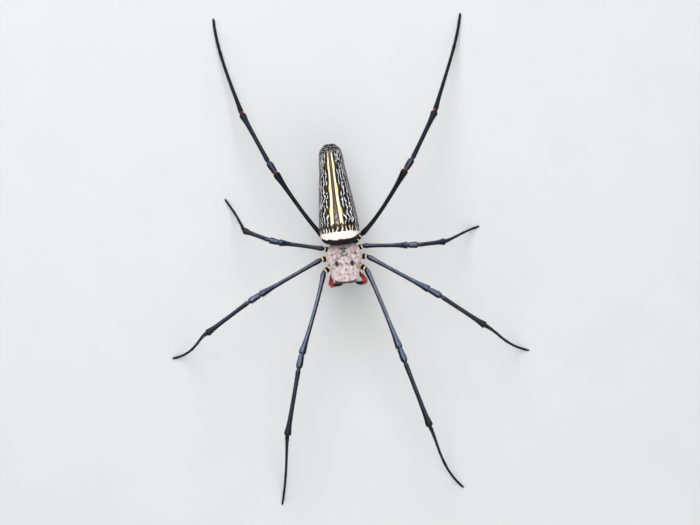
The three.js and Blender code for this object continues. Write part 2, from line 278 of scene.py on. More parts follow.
def mapSkin(bm, alongRings, length):
    # skinMap: the turn across, the way along; its seam runs below
    turnLayer = bm.verts.layers.float["turn"]
    ringLayer = bm.verts.layers.int["ring"]
    uv = bm.loops.layers.uv.new("skinMap")
    along = bm.verts.layers.float.new("along")
    for vert in bm.verts:
        vert[along] = alongRings[vert[ringLayer]]
    for face in bm.faces:
        turns = [loop.vert[turnLayer] for loop in face.loops]
        wraps = max(turns) - min(turns) > 0.5
        for loop, turn in zip(face.loops, turns):
            if wraps and turn < 0:
                turn += 1
            loop[uv].uv = (turn + 0.5, loop.vert[along] / length)


def placePiece(name, mesh, finish, nodes=()):
    for face in mesh.polygons:
        face.use_smooth = True
    piece = bpy.data.objects.new(name, mesh)
    bpy.context.scene.collection.objects.link(piece)
    mesh.materials.append(finish)
    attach(piece, "root")
    if nodes:
        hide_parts(*nodes)
    return piece


def finishPiece(name, bm, space, finish, nodes):
    bmesh.ops.recalc_face_normals(bm, faces=bm.faces)
    bm.transform(Matrix.Scale(mm, 4) @ space)
    mesh = bpy.data.meshes.new(name)
    bm.to_mesh(mesh)
    bm.free()
    return placePiece(name, mesh, finish, nodes)


def addMark(bm, name, rule):
    layer = bm.verts.layers.float.new(name)
    for vert in bm.verts:
        vert[layer] = rule(vert)


# Hair: one hair is modelled, then set many times over a skin
strand = {  # how far hairs differ, their taper, and the patch of the skin's map that one hair takes
    "length": (0.65, 1.25), "width": (0.8, 1.2), "rise": (0.6, 1.4), "taper": 0.62,
    "patch": 0.003, "margin": 0.002,
}


def modelHair():
    bm = bmesh.new()
    bmesh.ops.create_cone(bm, cap_ends=True, segments=3, radius1=1, radius2=strand["taper"], depth=1)
    bmesh.ops.translate(bm, vec=(0, 0, 0.5), verts=bm.verts)
    top = max(bm.faces, key=lambda face: face.calc_center_median().z)
    drawn = bmesh.ops.extrude_discrete_faces(bm, faces=[top])["faces"][0]
    tip = list(drawn.verts)
    bmesh.ops.translate(bm, vec=(0, 0, 1), verts=tip)
    bmesh.ops.pointmerge(bm, verts=tip, merge_co=(0, 0, 2))
    bmesh.ops.remove_doubles(bm, verts=bm.verts, dist=1e-5)
    bmesh.ops.recalc_face_normals(bm, faces=bm.faces)
    bm.verts.index_update()
    verts = np.array([vert.co[:] for vert in bm.verts])
    faces = [[vert.index for vert in face.verts] for face in bm.faces]
    bm.free()
    return verts, faces


def readValues(items, name, width=1, kind=float):
    values = np.empty(len(items) * width, kind)
    items.foreach_get(name, values)
    return values.reshape(-1, width) if width > 1 else values


def unit(vectors):
    return vectors / (np.linalg.norm(vectors, axis=1, keepdims=True) + 1e-12)


def plantHair(name, skin, coat, finish):
    # roots are drawn evenly over the skin, weighed by its fur mark; the hair leans along the skin
    mesh = skin.data
    mesh.calc_loop_triangles()
    co, normals = readValues(mesh.vertices, "co", 3), readValues(mesh.vertices, "normal", 3)
    tris = readValues(mesh.loop_triangles, "vertices", 3, int)
    loops = readValues(mesh.loop_triangles, "loops", 3, int)
    uv = readValues(mesh.uv_layers["skinMap"].data, "uv", 2)
    fur, along, tone = (readValues(mesh.attributes[key].data, "value") for key in ("fur", "along", "tone"))
    # the triangles are put in order by their place, so that each run picks the same roots
    key = co[tris] @ np.array([1.0, math.e, math.pi ** 2])
    turned = (key.argmin(axis=1)[:, None] + np.arange(3)) % 3
    order = np.take_along_axis(key, turned, 1).sum(axis=1).argsort(kind="stable")
    tris, loops = (np.take_along_axis(corners, turned, 1)[order] for corners in (tris, loops))
    a, b, c = (co[tris[:, k]] for k in range(3))
    flat = np.cross(b - a, c - a)
    weight = np.linalg.norm(flat, axis=1) / 2 * np.clip(fur[tris].mean(axis=1), 0, None)

    rng = np.random.default_rng(coat["seed"])
    picked = rng.choice(len(tris), size=coat["count"], p=weight / weight.sum())
    total = len(picked)
    r1, r2 = np.sqrt(rng.random(total)), rng.random(total)
    shares = np.stack([1 - r1, r1 * (1 - r2), r1 * r2], 1)
    root = (co[tris[picked]] * shares[:, :, None]).sum(1)
    up = unit((normals[tris[picked]] * shares[:, :, None]).sum(1))
    rootUv = (uv[loops[picked]] * shares[:, :, None]).sum(1)
    rootFur, rootTone = ((values[tris[picked]] * shares).sum(1) for values in (fur, tone))
    # the lie follows the skin's own run, from low to high along
    d1, d2 = (along[tris[:, k]] - along[tris[:, 0]] for k in (1, 2))
    run = np.cross(flat, b - a) * d2[:, None] - np.cross(flat, c - a) * d1[:, None]
    lie = unit(run[picked])
    lie = lie + rng.normal(0, coat["stray"], lie.shape)
    lie = unit(lie - up * (lie * up).sum(1, keepdims=True))
    aside = np.cross(up, lie)
    length = coat["length"] * mm * (0.6 + 0.4 * rootFur) * rng.uniform(*strand["length"], total)
    width = coat["width"] * mm * rng.uniform(*strand["width"], total)
    rise = coat["rise"] * rng.uniform(*strand["rise"], total)
    # the hair bends over: it starts up its root and lies down toward its tip
    pattern, patternFaces = modelHair()
    step = pattern[:, 2] / 2
    upWay = rise[:, None] * (step - 0.35 * step ** 2)[None, :] * 1.5
    lieWay = (1 - 0.5 * rise[:, None]) * (0.6 * step + 0.4 * step ** 2)[None, :]
    spots = (root[:, None, :] - up[:, None, :] * (width * 0.6)[:, None, None]
             + up[:, None, :] * (upWay * length[:, None])[:, :, None]
             + lie[:, None, :] * (lieWay * length[:, None])[:, :, None]
             + aside[:, None, :] * (pattern[:, 0][None, :] * width[:, None] / 2)[:, :, None]
             + np.cross(lie, aside)[:, None, :] * (pattern[:, 1][None, :] * width[:, None] / 2)[:, :, None])
    spots[:, :, 2] = np.maximum(spots[:, :, 2], 0)  # nothing reaches into the floor

    each = len(pattern)
    corners = np.concatenate([np.array(face) for face in patternFaces])
    allCorners = (corners[None, :] + np.arange(total)[:, None] * each).ravel()
    sizes = np.tile([len(face) for face in patternFaces], total)
    made = bpy.data.meshes.new(name)
    made.vertices.add(each * total)
    made.vertices.foreach_set("co", spots.reshape(-1))
    made.loops.add(len(allCorners))
    made.loops.foreach_set("vertex_index", allCorners)
    made.polygons.add(len(sizes))
    made.polygons.foreach_set("loop_start", np.cumsum(sizes) - sizes)
    made.update(calc_edges=True)
    # each hair's map points at a small patch at its root's place on the skin's map
    patch, margin = strand["patch"] * pattern[:, [0, 2]] / 2, strand["margin"]
    spotUv = np.mod(rootUv, 1.0)[:, None, :] * (1 - 2 * margin) + margin + patch[None, :, :]
    made.uv_layers.new(name="OFBake").data.foreach_set("uv", spotUv.reshape(-1, 2)[allCorners].ravel())
    for mark, values in (("shade", rng.random(total)), ("tone", rootTone)):
        made.attributes.new(mark, "FLOAT", "POINT").data.foreach_set("value", np.repeat(values, each))
    print(name, "hairs", total)
    return placePiece(name, made, finish)


# Body forms: rows run along the body, each with half width, underside, widest level and top
def bodyPlaces(rows, step, blunt):  # the place of each ring and its share of the full section
    starts, stops = rows[0][0], rows[-1][0]
    count = max(2, round((stops - starts) / step))
    bow = [k * math.pi / 12 for k in range(7)]
    places = [(starts - blunt * math.cos(turn), math.sin(turn)) for turn in bow[:6]]
    places += [(starts + (stops - starts) * share, 1) for share in evenly(count)]
    places += [(stops + blunt * math.sin(turn), math.cos(turn)) for turn in bow[1:]]
    places[0], places[-1] = (places[0][0], 0.004), (places[-1][0], 0.004)
    return places


def drawBody(form):
    # a tube of round rings along +Y, then fitted to the sections of the rows
    rows = [(row[0] * form["way"], *row[1:]) for row in form["rows"]]
    places = bodyPlaces(rows, form["step"], form["blunt"])
    up, along = Vector((0, 0, 1)), Vector((0, 1, 0))
    bm = drawTube([ringFrame(Vector((0, place, 0)), along, up, share) for place, share in places],
                  form["turns"])
    for vert in bm.verts:
        half, low, widest, top = readRows(rows, vert.co.y)
        rise = vert.co.z
        vert.co.x *= half
        vert.co.z = widest + rise * ((top - widest) if rise > 0 else (widest - low))
    mapSkin(bm, [place for place, share in places], form["length"])
    bm.normal_update()
    return bm


# The shield over head and thorax
shield = {
    "rows": [  # ahead of the waist, half width, underside, widest level, top
        (13.5, 2.5, 20.9, 21.8, 22.9), (13.1, 3.35, 20.5, 21.7, 23.5), (12.3, 4.05, 20.3, 21.6, 23.9),
        (11.3, 4.4, 20.1, 21.4, 24.1), (10.1, 4.5, 19.8, 21.2, 24.1), (8.6, 4.55, 19.4, 20.7, 23.9),
        (7.3, 4.9, 19.1, 20.2, 23.4), (5.6, 5.35, 19.0, 19.9, 22.8), (4.1, 5.35, 19.0, 19.8, 22.4),
        (2.8, 5.05, 18.9, 19.6, 21.7), (1.5, 4.3, 18.8, 19.3, 20.6), (0.5, 2.7, 18.8, 19.1, 19.6)],
    "way": -1, "turns": 168, "step": 0.12, "blunt": 0.14, "length": 20,
    "horn": (2.5, 7.4), "hornHeight": 1.0, "hornRadius": 0.66, "hornFoot": 0.16, "hornFootReach": 1.2,
    "pit": (-0.1, 3.5), "pitSize": (1.05, 0.5), "pitDepth": 0.45, "pitRim": 0.1,
    "neckFurrow": [(0.9, 4.9), (2.4, 6.0), (3.6, 7.6), (4.3, 9.2)], "neckDepth": 0.32, "neckReach": 0.55,
    "legFurrows": [((1.1, 3.5), (4.4, 2.1)), ((1.1, 3.76), (4.4, 3.4)), ((1.1, 4.08), (4.4, 5.0))],
    "legFurrowDepth": 0.16, "legFurrowReach": 0.4,
    "eyeMound": 0.05, "edgeTurn": 0.27, "edgeHeight": 0.08,  # the edge's place as a share of a turn
}
eyes = {
    "radius": 0.31, "dome": 1.04, "middle": (0, 12.4, 21.6),  # they look away from this middle
    "spots": {"front_middle": (0.72, 13.5, 22.1), "front_side": (2.8, 13.22, 21.8),
              "rear_middle": (0.8, 13.15, 23.05), "rear_side": (3.15, 12.75, 22.65)},
}


def lineDistance(point, line):  # the way from a point to a line of spots, and the share along it
    best = (1e9, 0)
    for k, (start, stop) in enumerate(zip(line, line[1:])):
        start, stop = Vector(start), Vector(stop)
        run = stop - start
        share = max(0, min(1, (point - start).dot(run) / run.length_squared))
        best = min(best, ((point - start - run * share).length, (k + share) / (len(line) - 1)))
    return best


def makeShield():
    bm = drawBody(shield)
    turn = bm.verts.layers.float["turn"]
    eyeSpots = [spot(place, side) for place in eyes["spots"].values() for side in sides.values()]
    moved = []
    for vert in bm.verts:
        aside, ahead = vert.co.x, -vert.co.y
        plan = Vector((abs(aside), ahead))
        over = max(0, math.cos(vert[turn] * math.tau))
        away, share = lineDistance(plan, shield["neckFurrow"])
        lift = -shield["neckDepth"] * bell(away, shield["neckReach"]) * (1 - 0.35 * share)
        for line in shield["legFurrows"]:
            away, share = lineDistance(plan, line)
            lift -= shield["legFurrowDepth"] * bell(away, shield["legFurrowReach"]) * (1 - share / 2)
        pitAway = oval(aside, ahead, shield["pit"], shield["pitSize"])
        lift -= shield["pitDepth"] * bell(pitAway, 1.0)
        lift += shield["pitRim"] * bell(pitAway - 1.15, 0.35)
        hornAway = oval(abs(aside), ahead, shield["horn"])
        lift += shield["hornFoot"] * bell(hornAway, shield["hornFootReach"])
        move = vert.normal * lift * over
        if over > 0.3:
            move.z += shield["hornHeight"] * max(0, 1 - hornAway / shield["hornRadius"]) ** 1.25
        for eye in eyeSpots:  # each eye sits in a low mound
            move += vert.normal * shield["eyeMound"] * bell((vert.co - eye).length - 0.4, 0.25)
        move += vert.normal * shield["edgeHeight"] * bell(abs(vert[turn]) - shield["edgeTurn"], 0.035)
        moved.append(move)
    for vert, move in zip(bm.verts, moved):
        vert.co += move

    def fur(vert):  # dense above, none below, sparse round the eyes
        over = math.cos(vert[turn] * math.tau) + 0.25
        dense = 0.15 + 0.85 * over ** 0.5 if over > 0 else 0
        return dense * (0.1 if min((vert.co - eye).length for eye in eyeSpots) < 0.5 else 1)

    def tone(vert):  # dark below
        below = min(1, max(0, (abs(vert[turn]) - shield["edgeTurn"]) / 0.03))
        return max(hairTone(vert.co.x, -vert.co.y, vert.co.z), below)

    addMark(bm, "fur", fur)
    # the ahead mark lets the shield's rear be painted paler, a painted light against the abdomen's shadow
    addMark(bm, "ahead", lambda vert: -vert.co.y)
    addMark(bm, "tone", tone)
    return finishPiece("carapaceSkin", bm, bodySpace, shieldFinish(), ["carapace"])


# Dark marks in the shield's hair
hairMarks = {
    "spots": [  # aside, ahead, reach, depth of colour
        (0.35, 2.6, 0.42, 1.0), (-0.65, 2.6, 0.42, 1.0), (0.5, 7.5, 0.4, 0.95), (-1.15, 7.5, 0.36, 0.8),
        (-1.0, 8.4, 0.32, 0.5), (0.4, 9.3, 0.36, 0.7), (3.75, 4.1, 0.42, 0.9), (-3.6, 4.4, 0.36, 0.5),
        (-2.9, 9.9, 0.32, 0.5), (2.6, 9.4, 0.32, 0.5), (-1.5, 10.7, 0.34, 0.5), (1.3, 11.1, 0.34, 0.55),
        (-0.2, 11.8, 0.3, 0.4), (3.2, 6.0, 0.3, 0.4)],
    "spotSpread": 1.4, "hornSize": (0.92, 1.4), "hornDepth": 1.5, "pitDepth": 0.75, "neckDepth": 0.42,
    "bow": (0.05, 3.75), "bowSize": (1.15, 1.15), "bowDepth": 0.95,
    "rings": [(2.9, 5.1), (-3.0, 4.9)], "ringDepth": 0.45, "face": 13.05, "faceTop": 23.4,
}


def hairTone(aside, ahead, up):  # 0 silver, 1 dark
    marks = hairMarks
    tones = [marks["hornDepth"] * bell(oval(abs(aside), ahead, shield["horn"], marks["hornSize"]), 1)]
    for x, y, reach, depth in marks["spots"]:
        away = oval(aside, ahead, (x, y))
        tones.append(depth * marks["spotSpread"] * bell(away, reach * marks["spotSpread"]))
    tones.append(marks["pitDepth"] * bell(oval(aside, ahead, shield["pit"], shield["pitSize"]) - 0.5, 0.6))
    if ahead > marks["bow"][1] - 0.05:  # a dark bow ahead of the pit
        tones.append(marks["bowDepth"] * bell(oval(aside, ahead, marks["bow"], marks["bowSize"]) - 1, 0.26))
    for ring in marks["rings"]:  # faint rings where the leg muscles hold
        tones.append(marks["ringDepth"] * bell(oval(aside, ahead, ring) - 1, 0.35))
    away = lineDistance(Vector((abs(aside), ahead)), shield["neckFurrow"])[0]
    tones.append(marks["neckDepth"] * bell(away, 0.5))
    if up < marks["faceTop"]:  # the face is dark, below its upper eyes
        tones.append(max(0, (ahead + 0.03 * aside * aside - marks["face"]) / 0.25))
    return min(max(tones), 1)


def shieldFinish():
    look = Finish("silverShield", Roughness=0.6, Sheen_Weight=0.3, Sheen_Roughness=0.4,
                  Sheen_Tint=(1, 0.95, 0.93, 1))
    place = look.place()
    cloud = look.noise(place, 900, 4, 0.6)
    fine = look.noise(place, 4200, 3, 0.6)
    # the silver is painted paler toward the rear, a painted light against the abdomen's shadow
    light = look.blend(look.mark("ahead").ramp(6.5, 3) * 0.7, (0.88, 0.74, 0.73), (0.96, 0.88, 0.84))
    colour = look.blend(cloud.ramp(0.34, 0.56), (0.3, 0.19, 0.16), light)
    speck = look.cells(place, 1500).ramp(0.36, 0.14) * look.noise(place, 700).ramp(0.42, 0.58)
    colour = look.blend(speck * 0.75, colour, (0.14, 0.085, 0.075))
    colour = look.blend(fine.ramp(0.58, 0.72) * 0.5, colour, (0.9, 0.8, 0.79))
    dark = look.mark("tone") + fine * 0.3 - 0.15
    colour = look.blend(dark.ramp(0.15, 0.7), colour, (0.018, 0.012, 0.011))
    bump = look.bump(look.noise(place, 2600, 5, 0.65) + cloud, 0.16, 0.6)
    return look.set(Base_Color=colour, Normal=bump, Roughness=0.62 - dark * 0.25)


def makeEyes():
    for kind, place in eyes["spots"].items():
        for name, side in sides.items():
            bm = bmesh.new()
            bmesh.ops.create_uvsphere(bm, u_segments=32, v_segments=20, radius=eyes["radius"])
            rim = [vert for vert in bm.verts if vert.co.z > 0.8 * eyes["radius"]]
            bmesh.ops.scale(bm, vec=(1, 1, eyes["dome"]), verts=rim)
            outward = (spot(place, side) - spot(eyes["middle"])).normalized()
            turned = outward.to_track_quat("Z", "Y").to_matrix().to_4x4()
            bmesh.ops.transform(bm, matrix=Matrix.Translation(spot(place, side)) @ turned, verts=bm.verts)
            finishPiece(f"eye_{kind}_{name}_lens", bm, bodySpace, eyeLook, [f"eye_{kind}_{name}"])


def eyeFinish():
    look = Finish("eyeBlack", Roughness=0.06, Coat_Weight=1.0, Coat_Roughness=0.02, IOR=1.5)
    place = look.place()
    colour = look.blend(look.noise(place, 2500).ramp(0.35, 0.7), (0.004, 0.004, 0.006), (0.02, 0.014, 0.012))
    return look.set(Base_Color=colour)


# The plate under the thorax, with the mouth's lobes in front
breast = {
    "rows": [(9.9, 1.2, 16.3, 17.2, 18.2), (8.6, 1.7, 15.8, 17.0, 18.4), (7.0, 1.8, 15.5, 16.9, 18.5),
             (4.9, 1.95, 15.4, 16.8, 18.5), (2.9, 1.7, 15.5, 16.9, 18.4), (1.2, 1.2, 15.8, 17.0, 18.3),
             (0.2, 0.6, 16.4, 17.1, 18.0)],
    "way": -1, "turns": 96, "step": 0.12, "blunt": 0.14, "length": 20,
    "lip": 7.9, "lipMiddle": (0, 8.0), "lipSize": (0.75, 1.1), "lipDepth": 0.18,
    "knobs": (2.1, 4.0, 6.0), "knobAside": 1.25, "knobHeight": 0.1,
}


def makeBreast():
    bm = drawBody(breast)
    for vert in bm.verts:
        ahead, aside = -vert.co.y, vert.co.x
        under = max(0, -vert.normal.z)
        groove = bell(ahead - breast["lip"], 0.16)
        if ahead > breast["lip"]:
            groove += bell(oval(aside, ahead, breast["lipMiddle"], breast["lipSize"]) - 1, 0.22)
        knobs = sum(bell(oval(abs(aside), ahead, (breast["knobAside"], place)), 0.5)
                    for place in breast["knobs"])
        vert.co += vert.normal * under * (breast["knobHeight"] * knobs - breast["lipDepth"] * groove)
    addMark(bm, "fur", lambda vert: max(0, -vert.normal.z) * 0.8)
    addMark(bm, "tone", lambda vert: 0)
    return finishPiece("sternumSkin", bm, bodySpace, undersideFinish(), ["sternum"])


def undersideFinish():
    look = Finish("undersideBrown", Roughness=0.4, Specular_IOR_Level=0.5)
    place = look.place()
    cloud = look.noise(place, 1100, 4)
    colour = look.blend(cloud.ramp(0.35, 0.7), (0.02, 0.013, 0.01), (0.075, 0.042, 0.026))
    colour = look.blend(look.noise(place, 3600).ramp(0.6, 0.7) * 0.4, colour, (0.2, 0.13, 0.08))
    return look.set(Base_Color=colour, Normal=look.bump(look.noise(place, 3800, 4), 0.05, 0.5),
                    Roughness=0.35 + cloud * 0.2)


# The abdomen, its markings painted over a map of turn and way along
abdomen = {
    "rows": [  # behind the waist, half width, underside, widest level, top
        (-0.9, 3.4, 21.8, 22.8, 24.1), (-0.3, 4.9, 20.5, 22.5, 25.4), (0.5, 5.85, 19.3, 22.2, 26.3),
        (1.4, 6.25, 18.1, 21.8, 26.9), (2.6, 6.4, 16.7, 21.4, 27.5), (4.3, 6.45, 15.6, 21.2, 27.8),
        (6.9, 6.3, 14.7, 20.9, 27.7), (10.1, 6.0, 14.1, 20.5, 27.1), (13.4, 5.55, 13.8, 20.0, 26.3),
        (18.3, 4.95, 13.5, 19.2, 25.0), (21.6, 4.45, 13.4, 18.6, 23.9), (24.9, 4.1, 13.5, 18.2, 22.9),
        (28.1, 3.85, 13.9, 17.8, 21.7), (30.2, 3.25, 14.6, 17.7, 20.7), (31.6, 1.9, 15.8, 17.6, 19.3)],
    "way": 1, "turns": 168, "step": 0.22, "blunt": 0.4, "length": 36,
    "roll": 0.0125,  # the markings sit this share of a turn toward the right side
    "creases": 22, "creaseDepth": 0.05,
    "dimples": (7.2, 12.5, 18.0, 23.0), "dimpleAside": 1.3, "dimpleDepth": 0.14,
    "plate": (0, 5.2), "plateSize": (2.2, 1.8), "plateHeight": 0.22, "fold": 7.3, "foldDepth": 0.22,
    "lung": (3.0, 5.4), "lungSize": (1.2, 1.7), "lungHeight": 0.16, "flankFold": 0.29, "flankDepth": 0.1,
}


def makeAbdomen():
    bm = drawBody(abdomen)
    turn = bm.verts.layers.float["turn"]
    for vert in bm.verts:
        behind, at = vert.co.y, vert[turn]
        creased = min(1, 0.3 + max(0, behind) / 9, max(0, 31 - behind) / 4)
        crease = math.sin(at * math.tau * abdomen["creases"] + 1.3 * math.sin(behind * 0.9))
        lift = abdomen["creaseDepth"] * creased * crease
        if abs(at) < 0.2:  # above: the dimples where muscles hold the skin
            for place in abdomen["dimples"]:
                for side in sides.values():
                    away = oval(vert.co.x, behind, (side * abdomen["dimpleAside"], place))
                    lift -= abdomen["dimpleDepth"] * bell(away, 0.45)
        if abs(at) > 0.3:  # below: the plate over the waist, the fold behind it and the lung covers
            aside = abs(vert.co.x)
            plate = oval(aside, behind, abdomen["plate"], abdomen["plateSize"])
            lung = oval(aside, behind, abdomen["lung"], abdomen["lungSize"])
            lift += abdomen["plateHeight"] * bell(plate, 1)
            lift -= abdomen["foldDepth"] * bell(behind - abdomen["fold"], 0.3) * bell(aside, 3.6)
            lift += abdomen["lungHeight"] * bell(lung, 1)
        flank = bell(abs(at) - abdomen["flankFold"], 0.02) * min(1, max(0, behind - 3) / 4)
        vert.co += vert.normal * (lift - abdomen["flankDepth"] * flank)
    addMark(bm, "fur", lambda vert: 0.06 + 0.94 * min(1, max(0, vert.co.y - 3) / 18))
    addMark(bm, "tone", lambda vert: 0.75)
    return finishPiece("abdomenSkin", bm, abdomenSpace, abdomenFinish(), ["abdomen"])


def abdomenFinish():
    look = Finish("abdomenStriped", Roughness=0.42, Specular_IOR_Level=0.2)
    place = look.place()
    across, way = look.skinMap()
    turn = across - 0.5 + abdomen["roll"]  # 0 at the middle of the back
    behind = way * abdomen["length"]
    away = abs(turn)

    def drawn(across, along, seed, detail, rough):  # noise drawn out along the abdomen
        return look.noise(look.join(turn * across, behind * along, seed), 1.0, detail, rough)

    ripple = look.noise(place, 1500, 2, 0.6) - 0.5
    grain = look.noise(place, 5200, 2, 0.6)
    wobble = drawn(16, 0.5, 3.1, 2, 0.5) - 0.5
    broken = drawn(34, 0.62, 0.7, 2, 0.6)

    black, dusk, white = (0.004, 0.0035, 0.004), (0.08, 0.066, 0.072), (0.86, 0.83, 0.82)
    cream, yellow, mauve = (0.93, 0.83, 0.54), (0.87, 0.62, 0.2), (0.19, 0.11, 0.1)

    # black ground with thin white lines that run back, wander, break and meet
    lines = ((away * 29 + wobble * 1.9 + ripple * 0.4 + 0.1) * math.tau).sine()
    lineMask = lines.ramp(0.66, 0.87) * (broken + ripple * 0.15).ramp(0.38, 0.43)
    net = look.cells(look.join(turn * 26 + ripple * 1.2, behind * 0.45 + wobble), 1.0, "DISTANCE_TO_EDGE")
    netMask = net.ramp(0.068, 0.036) * broken.ramp(0.42, 0.38)
    lineMask = lineMask.most(netMask) * (away + ripple * 0.03).ramp(0.052, 0.066)
    colour = look.blend(lineMask * away.ramp(0.26, 0.2), black, white)

    # grey flanks with fine pale lines, broken into short dashes
    dash = drawn(120, 0.75, 7.7, 3, 0.6)
    fineLines = ((away * 66 + wobble * 2.5 + (dash - 0.5) * 2.2) * math.tau).sine().ramp(0.1, 0.8)
    fineLines = (fineLines * 0.75).most(dash.ramp(0.54, 0.64)) * (broken + dash * 0.5).ramp(0.56, 0.78)
    flankColour = look.blend(fineLines, dusk, (0.36, 0.31, 0.32))
    colour = look.blend(away.ramp(0.175, 0.215) * 0.9, colour, flankColour)

    # below: brown black with pale dots in long rows
    dots = look.cells(look.join(turn * 52 + ripple, behind * 1.25 + ripple), 1.0).ramp(0.36, 0.2)
    dots = dots * drawn(14, 0.5, 4.4, 2, 0.55).ramp(0.42, 0.56)
    soil = look.blend(broken.ramp(0.35, 0.65), (0.022, 0.015, 0.012), (0.075, 0.045, 0.028))
    dots = dots * away.near(0.415, 0.04, 0.03) * behind.near(15, 7.5, 3)
    belly = look.blend(dots, soil, (0.58, 0.44, 0.2))
    lungs = behind.near(5.2, 1.4, 0.8) * (away - ripple * 0.02).near(0.445, 0.018, 0.02)
    belly = look.blend(lungs * 0.7, belly, (0.2, 0.09, 0.04))  # the lung covers are browner
    colour = look.blend((away + (dash - 0.5) * 0.07 + ripple * 0.03).ramp(0.325, 0.36), colour, belly)

    # between the stripes: mauve brown with dark lines beside a pale one
    half = 0.0094 + behind.ramp(31, 3) * 0.0042  # of a stripe, in turns
    middle = 0.0255 + behind.ramp(31, 24) * 0.003 + behind.ramp(17, 4) * 0.011
    innerAway = away + wobble * 0.003
    freckle = drawn(64, 0.9, 9.2, 2, 0.6)
    pale = freckle.ramp(0.5, 0.62) * behind.ramp(15, 5) * 0.9
    innerColour = look.blend(pale, mauve, (0.52, 0.42, 0.4))
    core = (turn + wobble * 0.004).near(0.0, 0.0016, 0.0018) * behind.ramp(6, 12)
    rim = (middle - half - innerAway + (freckle - 0.5) * 0.006).ramp(0.0135, 0.0095)
    innerColour = look.blend(rim.most(core * 0.8), innerColour, (0.016, 0.007, 0.006))
    colour = look.blend(away.ramp(0.045, 0.04), colour, innerColour)

    # the two stripes, with yellow swellings outward, each beside a black blotch
    swell = (((behind - 0.6) / 7.4) * math.tau).sine().ramp(0.1, 0.95) * behind.ramp(6, 10)
    blotch = away.near(0.066, 0.014, 0.012) * (swell + ripple * 0.8).ramp(0.35, 0.7)
    colour = look.blend(blotch * 0.95, colour, (0.02, 0.01, 0.008))
    edge = abs(innerAway - middle - swell * 0.0035) - half - swell * 0.0035 - ripple * 0.003
    fringe = edge.ramp(0.0055, 0.001) * (innerAway - middle).ramp(0, 0.004) * behind.ramp(30, 29)
    colour = look.blend(fringe * 0.85, colour, (0.1, 0.04, 0.014))
    stripe = edge.ramp(0.0012, -0.0008) * (behind + ripple).ramp(30.4, 29.4)
    outer = (innerAway - middle - half * 0.35).ramp(0.0, 0.009)
    stripeColour = look.blend((outer * 0.25).most(swell * outer.ramp(-0.4, 0.6) * 0.9), cream, yellow)
    colour = look.blend(stripe, colour, stripeColour)

    # black shoulders behind the cross-band, with curved cream fingers
    hook = drawn(22, 0.5, 5.3, 1, 0.5) - 0.5
    teeth = ((turn * 30 + hook * 1.6 + 0.3) * math.tau).sine()
    shoulder = (behind - teeth * 0.5 + hook * 2.5).near(4.0, 1.15, 0.4) * away.ramp(0.3, 0.26)
    colour = look.blend(shoulder * 0.96, colour, (0.012, 0.008, 0.007))
    reach = (behind + ripple * 1.5 + hook * 4).ramp(4.9, 4.0)
    fingerColour = look.blend((behind + ripple).ramp(3.9, 5.0), (0.92, 0.83, 0.6), (0.5, 0.26, 0.09))
    fingers = teeth.ramp(0.45, 0.8) * reach * behind.ramp(2, 3) * away.ramp(0.24, 0.2)
    colour = look.blend(fingers, colour, fingerColour)
    bandBehind = behind - away.least(0.26).power(2) * 30  # its front edge bends back at the sides
    band = (behind + away.power(2) * 9 + ripple * 0.9 - teeth.ramp(0.2, 0.9) * 0.35).ramp(3.15, 2.9)
    jagged = ripple * 0.8 + hook * 0.9
    band = band * (bandBehind + jagged).ramp(0.4, 0.55)
    colour = look.blend(band * away.ramp(0.27, 0.25), colour, (0.9, 0.86, 0.8))
    face = (bandBehind + jagged).ramp(0.5, 0.35)
    lip = (bandBehind + ripple * 0.5).ramp(0.05, 0.3) * away.ramp(0.3, 0.24)
    faceColour = look.blend(lip, (0.005, 0.005, 0.006), (0.09, 0.012, 0.012))
    colour = look.blend(face, colour, faceColour)

    # the tip: dark with white stipple
    stipple = (look.cells(place, 2300) + ripple * 0.35).ramp(0.38, 0.2) * (broken + ripple).ramp(0.3, 0.5)
    tipColour = look.blend(stipple, (0.008, 0.007, 0.008), (0.72, 0.68, 0.68))
    tipEdge = (behind + ripple * 5 + wobble * 6 - away * 2).ramp(27.6, 30.6)
    colour = look.blend(tipEdge * away.ramp(0.42, 0.3), colour, tipColour)

    bump = look.bump(look.noise(place, 1900, 4, 0.6), 0.1, 0.45)
    bump = look.bump(grain, 0.03, 0.4, bump)
    return look.set(Base_Color=colour, Normal=bump, Roughness=0.44 + face * 0.24 + band * 0.1)


waist = {
    "line": [(0, 1.9, 18.3), (-0.2, -0.1, 17.7), (stance["abdomenShift"], -3.2, 18.4)], "rings": 32,
    "turns": 32, "radius": 0.78, "flare": 0.3, "wave": 0.05, "waves": 3,
}


def makeWaist():
    points = [spot(place) for place in waist["line"]]
    shares = evenly(waist["rings"])
    radii = [waist["radius"] + waist["flare"] * (2 * share - 1) ** 2
             + waist["wave"] * math.sin(share * math.tau * waist["waves"]) for share in shares]
    bm = drawAlong([bezier(points, share) for share in shares], radii, waist["turns"], Vector((0, 0, 1)))
    mapSkin(bm, shares, 1)
    return finishPiece("waistSkin", bm, bodySpace, undersideFinish(), ["pedicel"])


spinnerets = {
    "behind": 25.6, "level": 13.9, "length": 2.3, "rings": 17, "turns": 20,
    "moundRadius": 1.35, "moundShape": (1, 1.15, 0.62),
    "cones": [  # aside, along, size
        (0.75, -0.6, 1), (-0.75, -0.6, 1), (0.7, 0.75, 1), (-0.7, 0.75, 1), (0.28, 0.1, 0.6),
        (-0.28, 0.1, 0.6), (0, 1.45, 0.7)],
    "outline": [(0, 0.5), (0.4, 0.56), (0.62, 0.5), (0.66, 0.44), (0.9, 0.36), (0.97, 0.25), (1, 0.02)],
}


